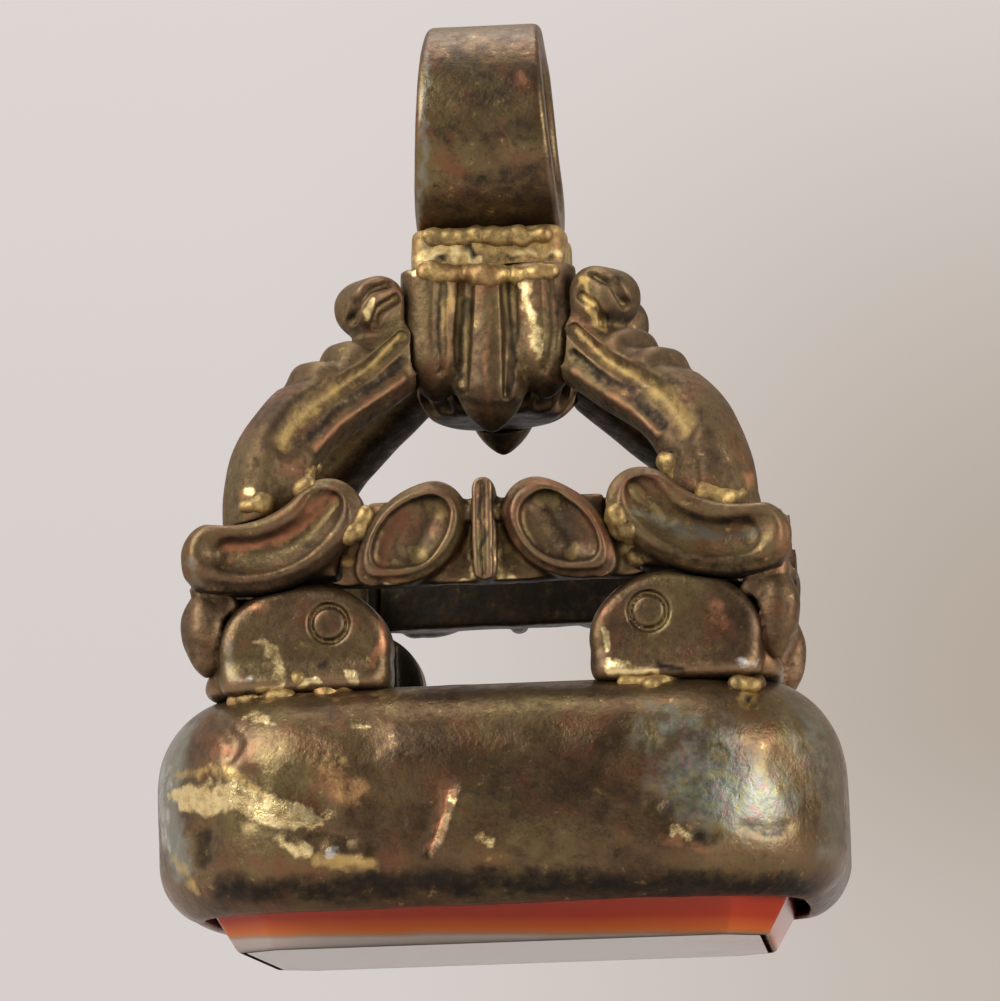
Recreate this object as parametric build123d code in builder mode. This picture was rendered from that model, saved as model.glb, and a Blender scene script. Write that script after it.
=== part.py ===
from build123d import *
import math
import os

os.makedirs("parts", exist_ok=True)

# Collet, the bulged sheet box that holds the stone
base_width = 25.2
base_depth = 21.0
base_corner = 5.5
collet_height = 8.3
collet_sheet = 0.6
shoulder_radius = 3.3
lip_radius = 2.2
lip_reach = 1.8

# Stone and the cement behind it
stone_drop = 1.0
stone_depth_in = 2.8
stone_bevel = 30.0
stone_bevel_over = 0.4
stone_gap = 0.75
stone_cut_corner = 1.4
cement_recess = 0.3

# Deck plate that closes the top of the collet
deck_land = 0.6
deck_flange = 0.5
deck_flange_thickness = 0.5
solder_gap = 0.03

# Feet, the volutes of the cage, each with a disc to the front and one to the side
cage_side_inset = 2.5
cage_front_inset = 2.4
foot_gap_width = 7.0
foot_gap_depth = 5.8
foot_height = 3.8
foot_belly = 1.3
foot_disc = 2.2
foot_edge = 0.6
foot_corner_gap = 0.3
foot_side_lower = 0.25
foot_core_inset = 1.1
foot_core_height = 3.0
foot_ring_radius = 0.75
foot_ring_line = 0.22
foot_ring_depth = 0.15
foot_ring_in = 2.2
foot_ring_down = 1.6

# Knees, the crescents on the feet, each with one to the front and one to the side
knee_gap_width = 8.8
knee_gap_depth = 6.4
knee_height = 4.1
knee_side_height = 3.0
knee_front_overhang = 0.6
knee_side_overhang = 0.9
knee_seat = 0.4
knee_sheet = 2.0
knee_step = 0.35
knee_side_inset = 0.15
knee_core_inset = 0.9
knee_core_rise = 0.4
knee_core_height = 1.8
knee_channel_width = 1.2
knee_channel_depth = 0.4

# Arms from the knees up to the crown
arm_width = 3.2
arm_thickness = 3.0
arm_corner = 1.2
arm_tip_share = 0.92
arm_channel_radius = 0.9
arm_channel_depth = 0.4
arm_seat_in = 2.9
arm_straight = 0.9
arm_bend_radius = 4.5
arm_tip_radius = 2.2
arm_tip_drop = 1.9
arm_curl_radius = 1.15
arm_curl_length = 2.5
arm_curl_edge = 0.6
arm_curl_back = 2.4
arm_curl_sink = 0.55

# Bands of petals between the knees
band_height = 3.8
band_side_height = 3.1
band_sheet = 1.2
band_backing_short = 0.7
band_backing_rise = 0.1
band_tuck = 1.3
petal_relief = 1.1
petal_step = 0.3
petal_spacing = 0.15
petal_tuck = 0.3
petal_hollow_depth = 0.4
petal_rim = 0.7
bar_width = 0.9
bar_proud = 0.2

# Leaf drops at the outer corners
drop_length = 3.5
drop_radius = 0.95
drop_point = 0.2
drop_hang = 0.5
drop_out = 0.1
drop_back = 1.0

# Crown with its two palmettes
crown_rise = 8.3
crown_height = 5.4
crown_neck_radius = 2.6
crown_belly_radius = 3.0
crown_base_radius = 1.7
crown_flutes = 16
crown_flute_radius = 0.35
palmette_front = 4.2
palmette_lobe_step = 0.3
palmette_middle_radius = 0.95
palmette_middle_swell = 1.35
palmette_middle_length = 6.2
palmette_side_out = 2.0
palmette_side_radius = 1.3
palmette_side_length = 5.0
palmette_tip = 1.6
palmette_point = 0.15

# Collar and suspension loop
collar_width = 5.9
collar_depth = 5.6
collar_height = 1.7
collar_edge = 0.4
loop_radius = 4.25
loop_strap = 1.4
loop_width_low = 5.5
loop_width_high = 4.3
loop_seat = 0.5
loop_edge = 0.3
peg_radius = 0.8
peg_length = 3.0
peg_clearance = 0.05

# Levels from the face of the stone upwards
lip_level = stone_drop
deck_level = lip_level + collet_height
knee_level = deck_level + foot_height - knee_seat
knee_top = knee_level + knee_height
crown_top = knee_top + crown_rise
collar_top = crown_top + collar_height
loop_level = collar_top - loop_seat + loop_radius

# Stone in its opening
opening_width = base_width - 2 * lip_reach
opening_depth = base_depth - 2 * lip_reach
bevel_slope = math.tan(math.radians(stone_bevel))
face_width = opening_width - 2 * stone_gap - 2 * bevel_slope * lip_level
face_depth = opening_depth - 2 * stone_gap - 2 * bevel_slope * lip_level
girdle_level = lip_level + stone_bevel_over
stone_top = lip_level + stone_depth_in

with BuildPart() as seal_stone:
    with BuildSketch():
        face_outline = Rectangle(face_width, face_depth)
        chamfer(face_outline.vertices(), stone_cut_corner)
    extrude(amount=girdle_level, taper=-stone_bevel)
    with BuildSketch(Plane.XY.offset(girdle_level)):
        girdle_outline = Rectangle(
            face_width + 2 * bevel_slope * girdle_level,
            face_depth + 2 * bevel_slope * girdle_level,
        )
        chamfer(girdle_outline.vertices(), stone_cut_corner)
    extrude(amount=stone_top - girdle_level)

# Space inside the collet
with BuildPart() as cavity:
    with BuildSketch(Plane.XY.offset(lip_level + collet_sheet)):
        RectangleRounded(
            base_width - 2 * collet_sheet,
            base_depth - 2 * collet_sheet,
            base_corner - collet_sheet,
        )
    extrude(amount=collet_height - 2 * collet_sheet)
    fillet(cavity.faces().sort_by(Axis.Z)[-1].edges(), shoulder_radius - collet_sheet)
    fillet(cavity.faces().sort_by(Axis.Z)[0].edges(), lip_radius - collet_sheet)

deck_inset = shoulder_radius + deck_land
deck_width = base_width - 2 * deck_inset
deck_depth = base_depth - 2 * deck_inset
deck_corner = base_corner - deck_inset

with BuildPart() as collet:
    with BuildSketch(Plane.XY.offset(lip_level)):
        RectangleRounded(base_width, base_depth, base_corner)
    extrude(amount=collet_height)
    fillet(collet.faces().sort_by(Axis.Z)[-1].edges(), shoulder_radius)
    fillet(collet.faces().sort_by(Axis.Z)[0].edges(), lip_radius)
    add(cavity.part, mode=Mode.SUBTRACT)
    with BuildSketch(Plane.XY.offset(lip_level)):
        RectangleRounded(opening_width, opening_depth, base_corner - lip_reach)
    extrude(amount=2 * collet_sheet, mode=Mode.SUBTRACT)
    with BuildSketch(Plane.XY.offset(deck_level)):
        RectangleRounded(deck_width, deck_depth, deck_corner)
    extrude(amount=-2 * collet_sheet, mode=Mode.SUBTRACT)

with BuildPart() as deck_plate:
    with BuildSketch(Plane.XY.offset(deck_level)):
        RectangleRounded(deck_width - 2 * solder_gap, deck_depth - 2 * solder_gap, deck_corner - solder_gap)
    extrude(amount=-collet_sheet)
    with BuildSketch(Plane.XY.offset(deck_level - collet_sheet)):
        RectangleRounded(
            deck_width + 2 * deck_flange,
            deck_depth + 2 * deck_flange,
            deck_corner + deck_flange,
        )
    extrude(amount=-deck_flange_thickness)

cement_level = lip_level + collet_sheet + cement_recess

with BuildPart() as setting_cement:
    add(cavity.part)
    with BuildSketch(Plane.XY.offset(cement_level)):
        Rectangle(base_width, base_depth)
    extrude(amount=-collet_height, mode=Mode.SUBTRACT)
    add(deck_plate.part, mode=Mode.SUBTRACT)
    add(seal_stone.part, mode=Mode.SUBTRACT)

# The corner pieces of the cage are drawn at the front right corner and mirrored
cage_half_width = base_width / 2 - cage_side_inset
cage_half_depth = base_depth / 2 - cage_front_inset
knee_outer_x = cage_half_width + knee_side_overhang
knee_inner_x = knee_gap_width / 2
knee_width = knee_outer_x - knee_inner_x
knee_front = cage_half_depth + knee_front_overhang
knee_back = knee_gap_depth / 2
knee_depth = knee_front - knee_back
side_view = Plane(origin=(0, 0, 0), x_dir=(0, -1, 0), z_dir=(-1, 0, 0))


def crescent(plane, inner, width, height, inset):
    """Outline of a knee: a round head at the inner end, a hollow for the arm and a blunt tail."""

    def at(out, up):
        return (inner + inset + out * (width - 2 * inset), knee_level + inset + up * (height - 2 * inset))

    with BuildSketch(plane) as outline:
        with BuildLine():
            ThreePointArc(at(0.0, 0.5), at(0.13, 0.99), at(0.36, 0.84))
            ThreePointArc(at(0.36, 0.84), at(0.6, 0.64), at(0.86, 0.64))
            ThreePointArc(at(0.86, 0.64), at(1.0, 0.3), at(0.82, 0.0))
            ThreePointArc(at(0.82, 0.0), at(0.4, 0.04), at(0.0, 0.5))
        make_face()
    return outline.sketch


def crescent_channel(plane, inner, width, height):
    """Open channel that follows the crescent."""

    def at(out, up):
        return (inner + out * width, knee_level + up * height)

    with BuildSketch(plane) as channel:
        with BuildLine(mode=Mode.PRIVATE) as middle:
            ThreePointArc(at(0.19, 0.72), at(0.38, 0.4), at(0.72, 0.32))
        SlotArc(middle.edges()[0], knee_channel_width)
    return channel.sketch


knee_front_plane = Plane.XZ.offset(knee_front)
knee_side_plane = side_view.offset(-knee_outer_x)
knee_front_channel = crescent_channel(knee_front_plane, knee_inner_x, knee_width, knee_height)
knee_side_channel = crescent_channel(knee_side_plane, knee_back, knee_depth, knee_side_height)

knee_front_foot = crescent(knee_front_plane.offset(-knee_step), knee_inner_x, knee_width, knee_height, 0.0)
knee_front_face = crescent(knee_front_plane, knee_inner_x, knee_width, knee_height, knee_step)
knee_side_foot = crescent(
    knee_side_plane.offset(knee_step), knee_back, knee_depth, knee_side_height, knee_side_inset
)
knee_side_face = crescent(
    knee_side_plane, knee_back, knee_depth, knee_side_height, knee_side_inset + knee_step
)

with BuildPart() as knee:
    extrude(knee_front_foot, amount=knee_step - knee_sheet)
    extrude(knee_front_face, amount=-2 * knee_step)
    extrude(knee_side_foot, amount=knee_sheet - knee_step)
    extrude(knee_side_face, amount=2 * knee_step)
    with BuildSketch(Plane.XY.offset(knee_level + knee_core_rise)):
        with Locations((knee_outer_x - knee_core_inset, knee_core_inset - knee_front)):
            Rectangle(
                knee_width - 2 * knee_core_inset,
                knee_depth - 2 * knee_core_inset,
                align=(Align.MAX, Align.MIN),
            )
    extrude(amount=knee_core_height)
    extrude(knee_front_channel, amount=-knee_channel_depth, mode=Mode.SUBTRACT)
    extrude(knee_side_channel, amount=knee_channel_depth, mode=Mode.SUBTRACT)


def volute(plane, inner, width, height):
    """Oval of the disc of a foot."""
    with BuildSketch(plane) as outline:
        with Locations((inner + width / 2, deck_level + foot_belly)):
            Ellipse(width / 2, height - foot_belly)
    return outline.sketch


def volute_ring(plane, inner):
    """Ring punched into the disc of a foot."""
    with BuildSketch(plane) as ring:
        with Locations((inner + foot_ring_in, deck_level + foot_height - foot_ring_down)):
            Circle(foot_ring_radius)
            Circle(foot_ring_radius - foot_ring_line, mode=Mode.SUBTRACT)
    return ring.sketch


foot_front_plane = Plane.XZ.offset(cage_half_depth)
foot_side_plane = side_view.offset(-cage_half_width)
foot_inner_x = foot_gap_width / 2
foot_width = cage_half_width - foot_inner_x
foot_back = foot_gap_depth / 2
foot_depth = cage_half_depth - foot_back
foot_front_outline = volute(foot_front_plane, foot_inner_x, foot_width - foot_corner_gap, foot_height)
foot_side_outline = volute(
    foot_side_plane, foot_back, foot_depth - 2 * foot_corner_gap, foot_height - foot_side_lower
)
foot_front_ring = volute_ring(foot_front_plane, foot_inner_x)
foot_side_ring = volute_ring(foot_side_plane, foot_back)

with BuildPart() as foot_front_disc:
    extrude(foot_front_outline, amount=-foot_disc)
    fillet(foot_front_disc.faces().sort_by(Axis.Y)[0].edges(), foot_edge)
    split(bisect_by=Plane.XY.offset(deck_level), keep=Keep.TOP)

with BuildPart() as foot_side_disc:
    extrude(foot_side_outline, amount=foot_disc)
    fillet(foot_side_disc.faces().sort_by(Axis.X)[-1].edges(), foot_edge)
    split(bisect_by=Plane.XY.offset(deck_level), keep=Keep.TOP)

with BuildPart() as foot:
    add(foot_front_disc.part)
    add(foot_side_disc.part)
    with BuildSketch(Plane.XY.offset(deck_level)):
        with Locations((cage_half_width - foot_core_inset, foot_core_inset - cage_half_depth)):
            Rectangle(
                foot_width - 2 * foot_core_inset,
                foot_depth - 2 * foot_core_inset,
                align=(Align.MAX, Align.MIN),
            )
    extrude(amount=foot_core_height)
    extrude(foot_front_ring, amount=-foot_ring_depth, mode=Mode.SUBTRACT)
    extrude(foot_side_ring, amount=foot_ring_depth, mode=Mode.SUBTRACT)
    add(knee.part, mode=Mode.SUBTRACT)

with BuildPart() as leaf_drop:
    drop_x = cage_half_width + drop_out
    drop_y = drop_back - cage_half_depth
    drop_top = knee_level + drop_hang
    with BuildSketch(Plane.XZ.offset(-drop_y)):
        with BuildLine():
            drop_low = drop_top - drop_length
            Line((drop_x, drop_top), (drop_x + drop_point, drop_top))
            ThreePointArc(
                (drop_x + drop_point, drop_top),
                (drop_x + drop_radius, drop_top - drop_length * 0.6),
                (drop_x + drop_point, drop_low),
            )
            Line((drop_x + drop_point, drop_low), (drop_x, drop_low))
            Line((drop_x, drop_low), (drop_x, drop_top))
        make_face()
    revolve(axis=Axis((drop_x, drop_y, 0), (0, 0, 1)))
    add(foot.part, mode=Mode.SUBTRACT)
    add(knee.part, mode=Mode.SUBTRACT)

# Crown where the arms meet
with BuildPart() as crown:
    with BuildSketch(Plane.XZ):
        with BuildLine():
            crown_low = crown_top - crown_height
            Line((0, crown_top), (crown_neck_radius, crown_top))
            ThreePointArc(
                (crown_neck_radius, crown_top),
                (crown_neck_radius, crown_top - crown_height * 0.45),
                (crown_belly_radius, crown_low + crown_height * 0.25),
            )
            ThreePointArc(
                (crown_belly_radius, crown_low + crown_height * 0.25),
                (crown_belly_radius * 0.9, crown_low + crown_height * 0.07),
                (crown_base_radius, crown_low),
            )
            Line((crown_base_radius, crown_low), (0, crown_low))
            Line((0, crown_low), (0, crown_top))
        make_face()
    revolve(axis=Axis.Z)
    with BuildSketch(Plane.XY.offset(crown_top)):
        with PolarLocations(crown_neck_radius + crown_flute_radius / 3, crown_flutes):
            Circle(crown_flute_radius)
    extrude(amount=-crown_height, mode=Mode.SUBTRACT)
    with BuildSketch(Plane.XY.offset(crown_top)):
        Circle(peg_radius + peg_clearance)
    extrude(amount=collar_height - loop_seat - peg_length - peg_clearance, mode=Mode.SUBTRACT)

with BuildPart() as suspension_loop:
    with BuildSketch(Plane.YZ):
        with Locations((0, loop_level)):
            Circle(loop_radius)
            Circle(loop_radius - loop_strap, mode=Mode.SUBTRACT)
    extrude(amount=loop_width_low, both=True)
    with BuildSketch(Plane.XZ):
        with Locations((0, loop_level)):
            Polygon(
                (-loop_width_low / 2, -loop_radius),
                (loop_width_low / 2, -loop_radius),
                (loop_width_high / 2, loop_radius),
                (-loop_width_high / 2, loop_radius),
                align=None,
            )
    extrude(amount=2 * loop_radius, both=True, mode=Mode.INTERSECT)
    fillet(suspension_loop.faces().sort_by(Axis.X)[0].edges(), loop_edge)
    fillet(suspension_loop.faces().sort_by(Axis.X)[-1].edges(), loop_edge)
    with BuildSketch(Plane.XY.offset(loop_level - loop_radius + loop_strap / 2)):
        Circle(peg_radius)
    extrude(amount=-peg_length - loop_strap / 2)

with BuildPart() as loop_collar:
    with BuildSketch(Plane.XY.offset(crown_top)):
        RectangleRounded(collar_width, collar_depth, collar_edge * 2)
    extrude(amount=collar_height)
    fillet(loop_collar.faces().sort_by(Axis.Z)[-1].edges(), collar_edge)
    with BuildSketch(Plane.XY.offset(crown_top)):
        Circle(peg_radius + peg_clearance)
    extrude(amount=collar_height, mode=Mode.SUBTRACT)
    add(suspension_loop.part, mode=Mode.SUBTRACT)


def make_lobe(middle, radius, swell, length, front):
    """Round rib of a palmette that hangs from the top of the crown, swells and ends in a point."""
    low = crown_top - length
    shoulder = low + palmette_tip
    depth = front - swell
    with BuildPart() as lobe:
        with BuildSketch(Plane.XZ.offset(depth)):
            with BuildLine():
                Line((middle, crown_top), (middle + radius, crown_top))
                Line((middle + radius, crown_top), (middle + swell, shoulder))
                ThreePointArc(
                    (middle + swell, shoulder),
                    (middle + swell * 0.7, low + palmette_tip * 0.45),
                    (middle + palmette_point, low),
                )
                Line((middle + palmette_point, low), (middle, low))
                Line((middle, low), (middle, crown_top))
            make_face()
        revolve(axis=Axis((middle, -depth, 0), (0, 0, 1)))
    return lobe.part


side_front = palmette_front - palmette_lobe_step
side_radius = palmette_side_radius
left_lobe = make_lobe(-palmette_side_out, side_radius, side_radius, palmette_side_length, side_front)
middle_lobe = make_lobe(
    0, palmette_middle_radius, palmette_middle_swell, palmette_middle_length, palmette_front
)
right_lobe = make_lobe(palmette_side_out, side_radius, side_radius, palmette_side_length, side_front)

with BuildPart() as palmette:
    add(left_lobe)
    add(right_lobe)
    add(middle_lobe)
    add(crown.part, mode=Mode.SUBTRACT)

# Arm: its middle line lies in an upright plane through the axis of the seal
arm_x = knee_outer_x - arm_seat_in
arm_y = (knee_front + knee_back) / 2
arm_reach = math.hypot(arm_x, arm_y)
arm_plane = Plane(
    origin=(0, 0, 0),
    x_dir=(arm_x / arm_reach, -arm_y / arm_reach, 0),
    z_dir=(-arm_y / arm_reach, -arm_x / arm_reach, 0),
)
arm_start = knee_level + knee_core_rise + knee_core_height
bend_level = arm_start + arm_straight
bend_middle = arm_reach - arm_bend_radius
tip_level = crown_top - arm_tip_drop
tip_distance = math.hypot(arm_tip_radius - bend_middle, tip_level - bend_level)
tip_bearing = math.atan2(tip_level - bend_level, arm_tip_radius - bend_middle)
arm_turn = tip_bearing - math.acos(arm_bend_radius / tip_distance)
bend_end = (
    bend_middle + arm_bend_radius * math.cos(arm_turn),
    bend_level + arm_bend_radius * math.sin(arm_turn),
)
curl_lift = arm_thickness / 2 + arm_curl_radius - arm_curl_sink
curl_place = (
    arm_tip_radius + arm_curl_back * math.sin(arm_turn) + curl_lift * math.cos(arm_turn),
    tip_level - arm_curl_back * math.cos(arm_turn) + curl_lift * math.sin(arm_turn),
)

arm_outward = (arm_x / arm_reach, -arm_y / arm_reach, 0)
arm_low_plane = Plane(origin=(arm_x, -arm_y, arm_start), x_dir=arm_outward, z_dir=(0, 0, 1))
arm_high_plane = Plane(
    origin=(arm_tip_radius * arm_outward[0], arm_tip_radius * arm_outward[1], tip_level),
    x_dir=(
        math.cos(arm_turn) * arm_outward[0],
        math.cos(arm_turn) * arm_outward[1],
        math.sin(arm_turn),
    ),
    z_dir=(
        -math.sin(arm_turn) * arm_outward[0],
        -math.sin(arm_turn) * arm_outward[1],
        math.cos(arm_turn),
    ),
)


def arm_section(plane, share):
    """Cross section of an arm: a rounded square with a channel in both sides."""
    channel_middle = arm_width / 2 + arm_channel_radius - arm_channel_depth
    with BuildSketch(plane) as section:
        RectangleRounded(arm_thickness * share, arm_width * share, arm_corner * share)
        with Locations((0, channel_middle * share), (0, -channel_middle * share)):
            Circle(arm_channel_radius * share, mode=Mode.SUBTRACT)
    return section.sketch


arm_low_section = arm_section(arm_low_plane, 1.0)
arm_high_section = arm_section(arm_high_plane, arm_tip_share)
curl_plane = arm_plane.offset(-arm_curl_length / 2)

with BuildPart() as arm_curl:
    with BuildSketch(curl_plane):
        with Locations(curl_place):
            Circle(arm_curl_radius)
    extrude(amount=arm_curl_length)
    fillet(arm_curl.edges().filter_by(GeomType.CIRCLE), arm_curl_edge)

with BuildPart() as arm:
    with BuildLine(arm_plane) as arm_line:
        Line((arm_reach, arm_start), (arm_reach, bend_level))
        CenterArc((bend_middle, bend_level), arm_bend_radius, 0, math.degrees(arm_turn))
        Line(bend_end, (arm_tip_radius, tip_level))
    sweep([arm_low_section, arm_high_section], path=arm_line.wires()[0], multisection=True)
    add(arm_curl.part)
    # The arms meet on the middle planes of the seal
    with BuildSketch(Plane.XY.offset(knee_level)):
        Rectangle(base_width, base_depth, align=(Align.MIN, Align.MAX))
    extrude(amount=collar_top - knee_level, mode=Mode.INTERSECT)


def petal(plane, side, gap, height, inset):
    """Outline of a petal: it leans from a broad top beside the bar to a narrow end under the knee."""
    near = bar_width / 2 + petal_spacing
    far = gap / 2 + petal_tuck

    def at(out, up):
        across = near + inset + out * (far - near - 2 * inset)
        return (side * across, knee_level + inset + up * (height - 2 * inset))

    with BuildSketch(plane) as outline:
        with BuildLine():
            ThreePointArc(at(0.0, 0.6), at(0.08, 0.9), at(0.34, 1.0))
            ThreePointArc(at(0.34, 1.0), at(0.77, 0.74), at(1.0, 0.2))
            ThreePointArc(at(1.0, 0.2), at(0.95, 0.04), at(0.78, 0.0))
            ThreePointArc(at(0.78, 0.0), at(0.27, 0.14), at(0.0, 0.6))
        make_face()
    return outline.sketch


def make_band(plane, gap, height, face):
    """Pair of petals with a bar between them, on a plate that fits between two knees."""
    sides = (-1, 1)
    feet = [petal(plane.offset(face - petal_step), side, gap, height, 0.0) for side in sides]
    faces = [petal(plane.offset(face), side, gap, height, petal_step) for side in sides]
    hollows = [petal(plane.offset(face), side, gap, height, petal_rim) for side in sides]
    plate_front = face - petal_relief
    with BuildPart() as band:
        with BuildSketch(plane.offset(plate_front)):
            with Locations((0, knee_level + band_backing_rise)):
                Rectangle(gap + 2 * band_tuck, height - band_backing_short, align=(Align.CENTER, Align.MIN))
        extrude(amount=-band_sheet)
        for foot_outline, face_outline, hollow_outline in zip(feet, faces, hollows):
            extrude(foot_outline, amount=petal_step - petal_relief)
            extrude(face_outline, amount=-2 * petal_step)
            extrude(hollow_outline, amount=-petal_hollow_depth, mode=Mode.SUBTRACT)
        with BuildSketch(plane.offset(plate_front)):
            with Locations((0, knee_level + height / 2)):
                SlotOverall(height, bar_width, rotation=90)
        extrude(amount=petal_relief + bar_proud)
    return band.part


def without(piece, neighbours):
    """The piece with the space of its neighbours taken away, so that they meet face to face."""
    with BuildPart() as trimmed:
        add(piece)
        for neighbour in neighbours:
            add(neighbour, mode=Mode.SUBTRACT)
    with BuildPart() as largest:
        add(trimmed.part.solids().sort_by(SortBy.VOLUME)[-1])
    return largest.part


def mirrored(piece, to_left, to_back):
    """The piece moved from the front right to another corner of the cage."""
    with BuildPart() as in_depth:
        if to_back:
            mirror(piece, about=Plane.XZ)
        else:
            add(piece)
    with BuildPart() as in_width:
        if to_left:
            mirror(in_depth.part, about=Plane.YZ)
        else:
            add(in_depth.part)
    return in_width.part


corners = {
    "front_right": (False, False),
    "front_left": (True, False),
    "back_right": (False, True),
    "back_left": (True, True),
}
arm_seated = without(arm.part, [knee.part, crown.part, palmette.part, loop_collar.part])
corner_pieces = {
    "foot_scroll": foot.part,
    "knee_scroll": knee.part,
    "arm": arm_seated,
    "leaf_drop": leaf_drop.part,
}
pieces = {
    "seal_stone": seal_stone.part,
    "setting_cement": setting_cement.part,
    "collet": collet.part,
    "deck_plate": deck_plate.part,
    "crown": crown.part,
    "loop_collar": loop_collar.part,
    "suspension_loop": suspension_loop.part,
    "front_palmette": palmette.part,
    "back_palmette": mirrored(palmette.part, False, True),
}
for name, master in corner_pieces.items():
    for corner, (to_left, to_back) in corners.items():
        pieces[f"{name}_{corner}"] = mirrored(master, to_left, to_back)

band_neighbours = ("foot_scroll", "knee_scroll", "arm")
corner_work = [pieces[f"{name}_{corner}"] for corner in corners for name in band_neighbours]
front_band = without(make_band(Plane.XZ, knee_gap_width, band_height, knee_front), corner_work)
right_band = without(make_band(Plane.YZ, knee_gap_depth, band_side_height, cage_half_width), corner_work)
pieces["front_band"] = front_band
pieces["back_band"] = mirrored(front_band, False, True)
pieces["right_band"] = right_band
pieces["left_band"] = mirrored(right_band, True, False)

for name, piece in pieces.items():
    piece.label = name
    export_step(piece, f"parts/{name}.step")
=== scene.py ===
import math

import bmesh
import bpy
import numpy as np
from bpy.props import FloatProperty, FloatVectorProperty, IntProperty, PointerProperty
from mathutils import Matrix, Vector
from mathutils.bvhtree import BVHTree


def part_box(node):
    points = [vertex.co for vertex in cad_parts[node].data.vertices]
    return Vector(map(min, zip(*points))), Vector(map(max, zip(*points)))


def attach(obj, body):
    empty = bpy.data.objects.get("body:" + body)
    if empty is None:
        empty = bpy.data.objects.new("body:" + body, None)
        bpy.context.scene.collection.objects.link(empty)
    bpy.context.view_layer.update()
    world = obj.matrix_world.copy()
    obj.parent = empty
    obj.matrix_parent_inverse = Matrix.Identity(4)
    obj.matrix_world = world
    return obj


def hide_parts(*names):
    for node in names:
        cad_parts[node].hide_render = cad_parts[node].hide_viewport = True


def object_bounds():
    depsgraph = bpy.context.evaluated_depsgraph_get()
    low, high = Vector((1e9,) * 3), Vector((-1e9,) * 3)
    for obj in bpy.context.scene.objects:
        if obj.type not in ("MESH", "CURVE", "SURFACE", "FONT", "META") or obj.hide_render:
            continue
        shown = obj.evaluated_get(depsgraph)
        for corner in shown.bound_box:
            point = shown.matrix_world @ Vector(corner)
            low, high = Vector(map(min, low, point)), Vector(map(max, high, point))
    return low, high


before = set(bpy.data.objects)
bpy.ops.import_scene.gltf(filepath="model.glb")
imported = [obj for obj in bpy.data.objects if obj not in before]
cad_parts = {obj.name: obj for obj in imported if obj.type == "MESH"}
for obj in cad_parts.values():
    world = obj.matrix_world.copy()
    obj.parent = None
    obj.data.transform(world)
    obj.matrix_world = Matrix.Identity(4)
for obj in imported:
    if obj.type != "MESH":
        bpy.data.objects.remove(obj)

bl_info = {
    "name": "Fob seal",
    "version": (1, 0, 0),
    "blender": (4, 5, 0),
    "location": "3D View > Sidebar > Fob seal",
    "description": "Dresses an old gilt fob seal in worn stamped metal and layered agate",
    "category": "Mesh",
}

CAD_LOW, CAD_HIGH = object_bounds()
TO_MM = 1000.0
WELD = 1e-7
CORNERS = {
    "front_right": (1, -1),
    "front_left": (-1, -1),
    "back_right": (1, 1),
    "back_left": (-1, 1),
}
RIGHT = np.array((1.0, 0.0, 0.0))
BACK = np.array((0.0, 1.0, 0.0))
UP = np.array((0.0, 0.0, 1.0))

# How far the borders of marks wander, in pixels of the photograph or, for dyes, in millimetres
MARK_WANDER = 8.0
DENT_WANDER = 3.0
GROOVE_WANDER = 0.6
DYE_WANDER = 0.16

# Millimetres between the swells of that wander, the shares of its coarse and fine part, and its seeds
MARK_SPACING = 0.9
DYE_SPACING = 0.8
COARSE_SHARE = 0.7
FINE_SHARE = 0.5
FINE_PARTS = 3
FINE_SEED = 50
MARK_SEED = 5
DYE_SEED = 9

# Range over which a surface turns towards a direction or into the picture
FACING_RANGE = (0.15, 0.6)
SHOWN_RANGE = (0.0, 0.35)

# Painted shade on the sides that face the axis or the deck: its strength, how much of it lies under ledges,
# and the range over which it thickens
INNER_SHADE_STRENGTH = 0.85
SHADE_UNDER_LEDGES = 0.8
INNER_SHADE_RANGE = (0.2, 0.8)

# Distance from the seal's axis, in millimetres, below which no side is told from another
NEAR_AXIS = 0.1

# Frame of the photograph, in its pixels, and the camera's sensor
PHOTO_SIZE = (1000, 1001)
SENSOR_WIDTH = 36.0


def colour(label, note, value):
    """Colour setting of one finish."""
    return FloatVectorProperty(
        name=label, description=note, default=value, subtype="COLOR", size=3, min=0.0, max=1.0
    )


def length(label, note, value):
    """Length setting in metres."""
    return FloatProperty(
        name=label, description=note, default=value, subtype="DISTANCE", unit="LENGTH", precision=6, min=0.0
    )


def angle(label, note, degrees):
    """Angle setting of the camera."""
    return FloatProperty(name=label, description=note, default=math.radians(degrees), subtype="ANGLE")


class SealSizes(bpy.types.PropertyGroup):
    """Sizes of the skin, the wear and the view"""

    cage_grain: length("Cage grain", "Mesh spacing of the stamped pieces", 0.00009)
    collet_grain: length("Collet grain", "Mesh spacing of the collet", 0.00017)
    stone_grain: length("Stone grain", "Mesh spacing of the stone", 0.00012)
    pitch_grain: length("Pitch grain", "Mesh spacing of the cement", 0.00034)
    solder_grain: length("Solder grain", "Mesh spacing of the solder", 0.00006)
    edge_wear: IntProperty(name="Edge wear", description="Passes that round the edges", default=12, min=0)
    collet_belly: FloatProperty(
        name="Collet belly", description="Share by which the collet's sides fall back", default=0.05, min=0.0
    )
    ring_depth: length("Ring punch", "Depth of the ring punched into a foot", 0.00013)
    solder_radius: length("Solder", "Radius of the beads of solder in the joints", 0.00030)
    view_distance: length("View distance", "From the camera to the middle of the seal", 0.2)
    view_height: length("View height", "Height of the point that the camera looks at", 0.0168)
    view_turn: angle("View turn", "Turn of the camera to the right", 4.0)
    view_rise: angle("View rise", "Rise of the camera", -8.0)
    view_roll: angle("View roll", "Lean of the seal to the left", 1.8)
    lens: FloatProperty(name="Lens", description="Focal length in millimetres", default=193.7, min=1.0)


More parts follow.
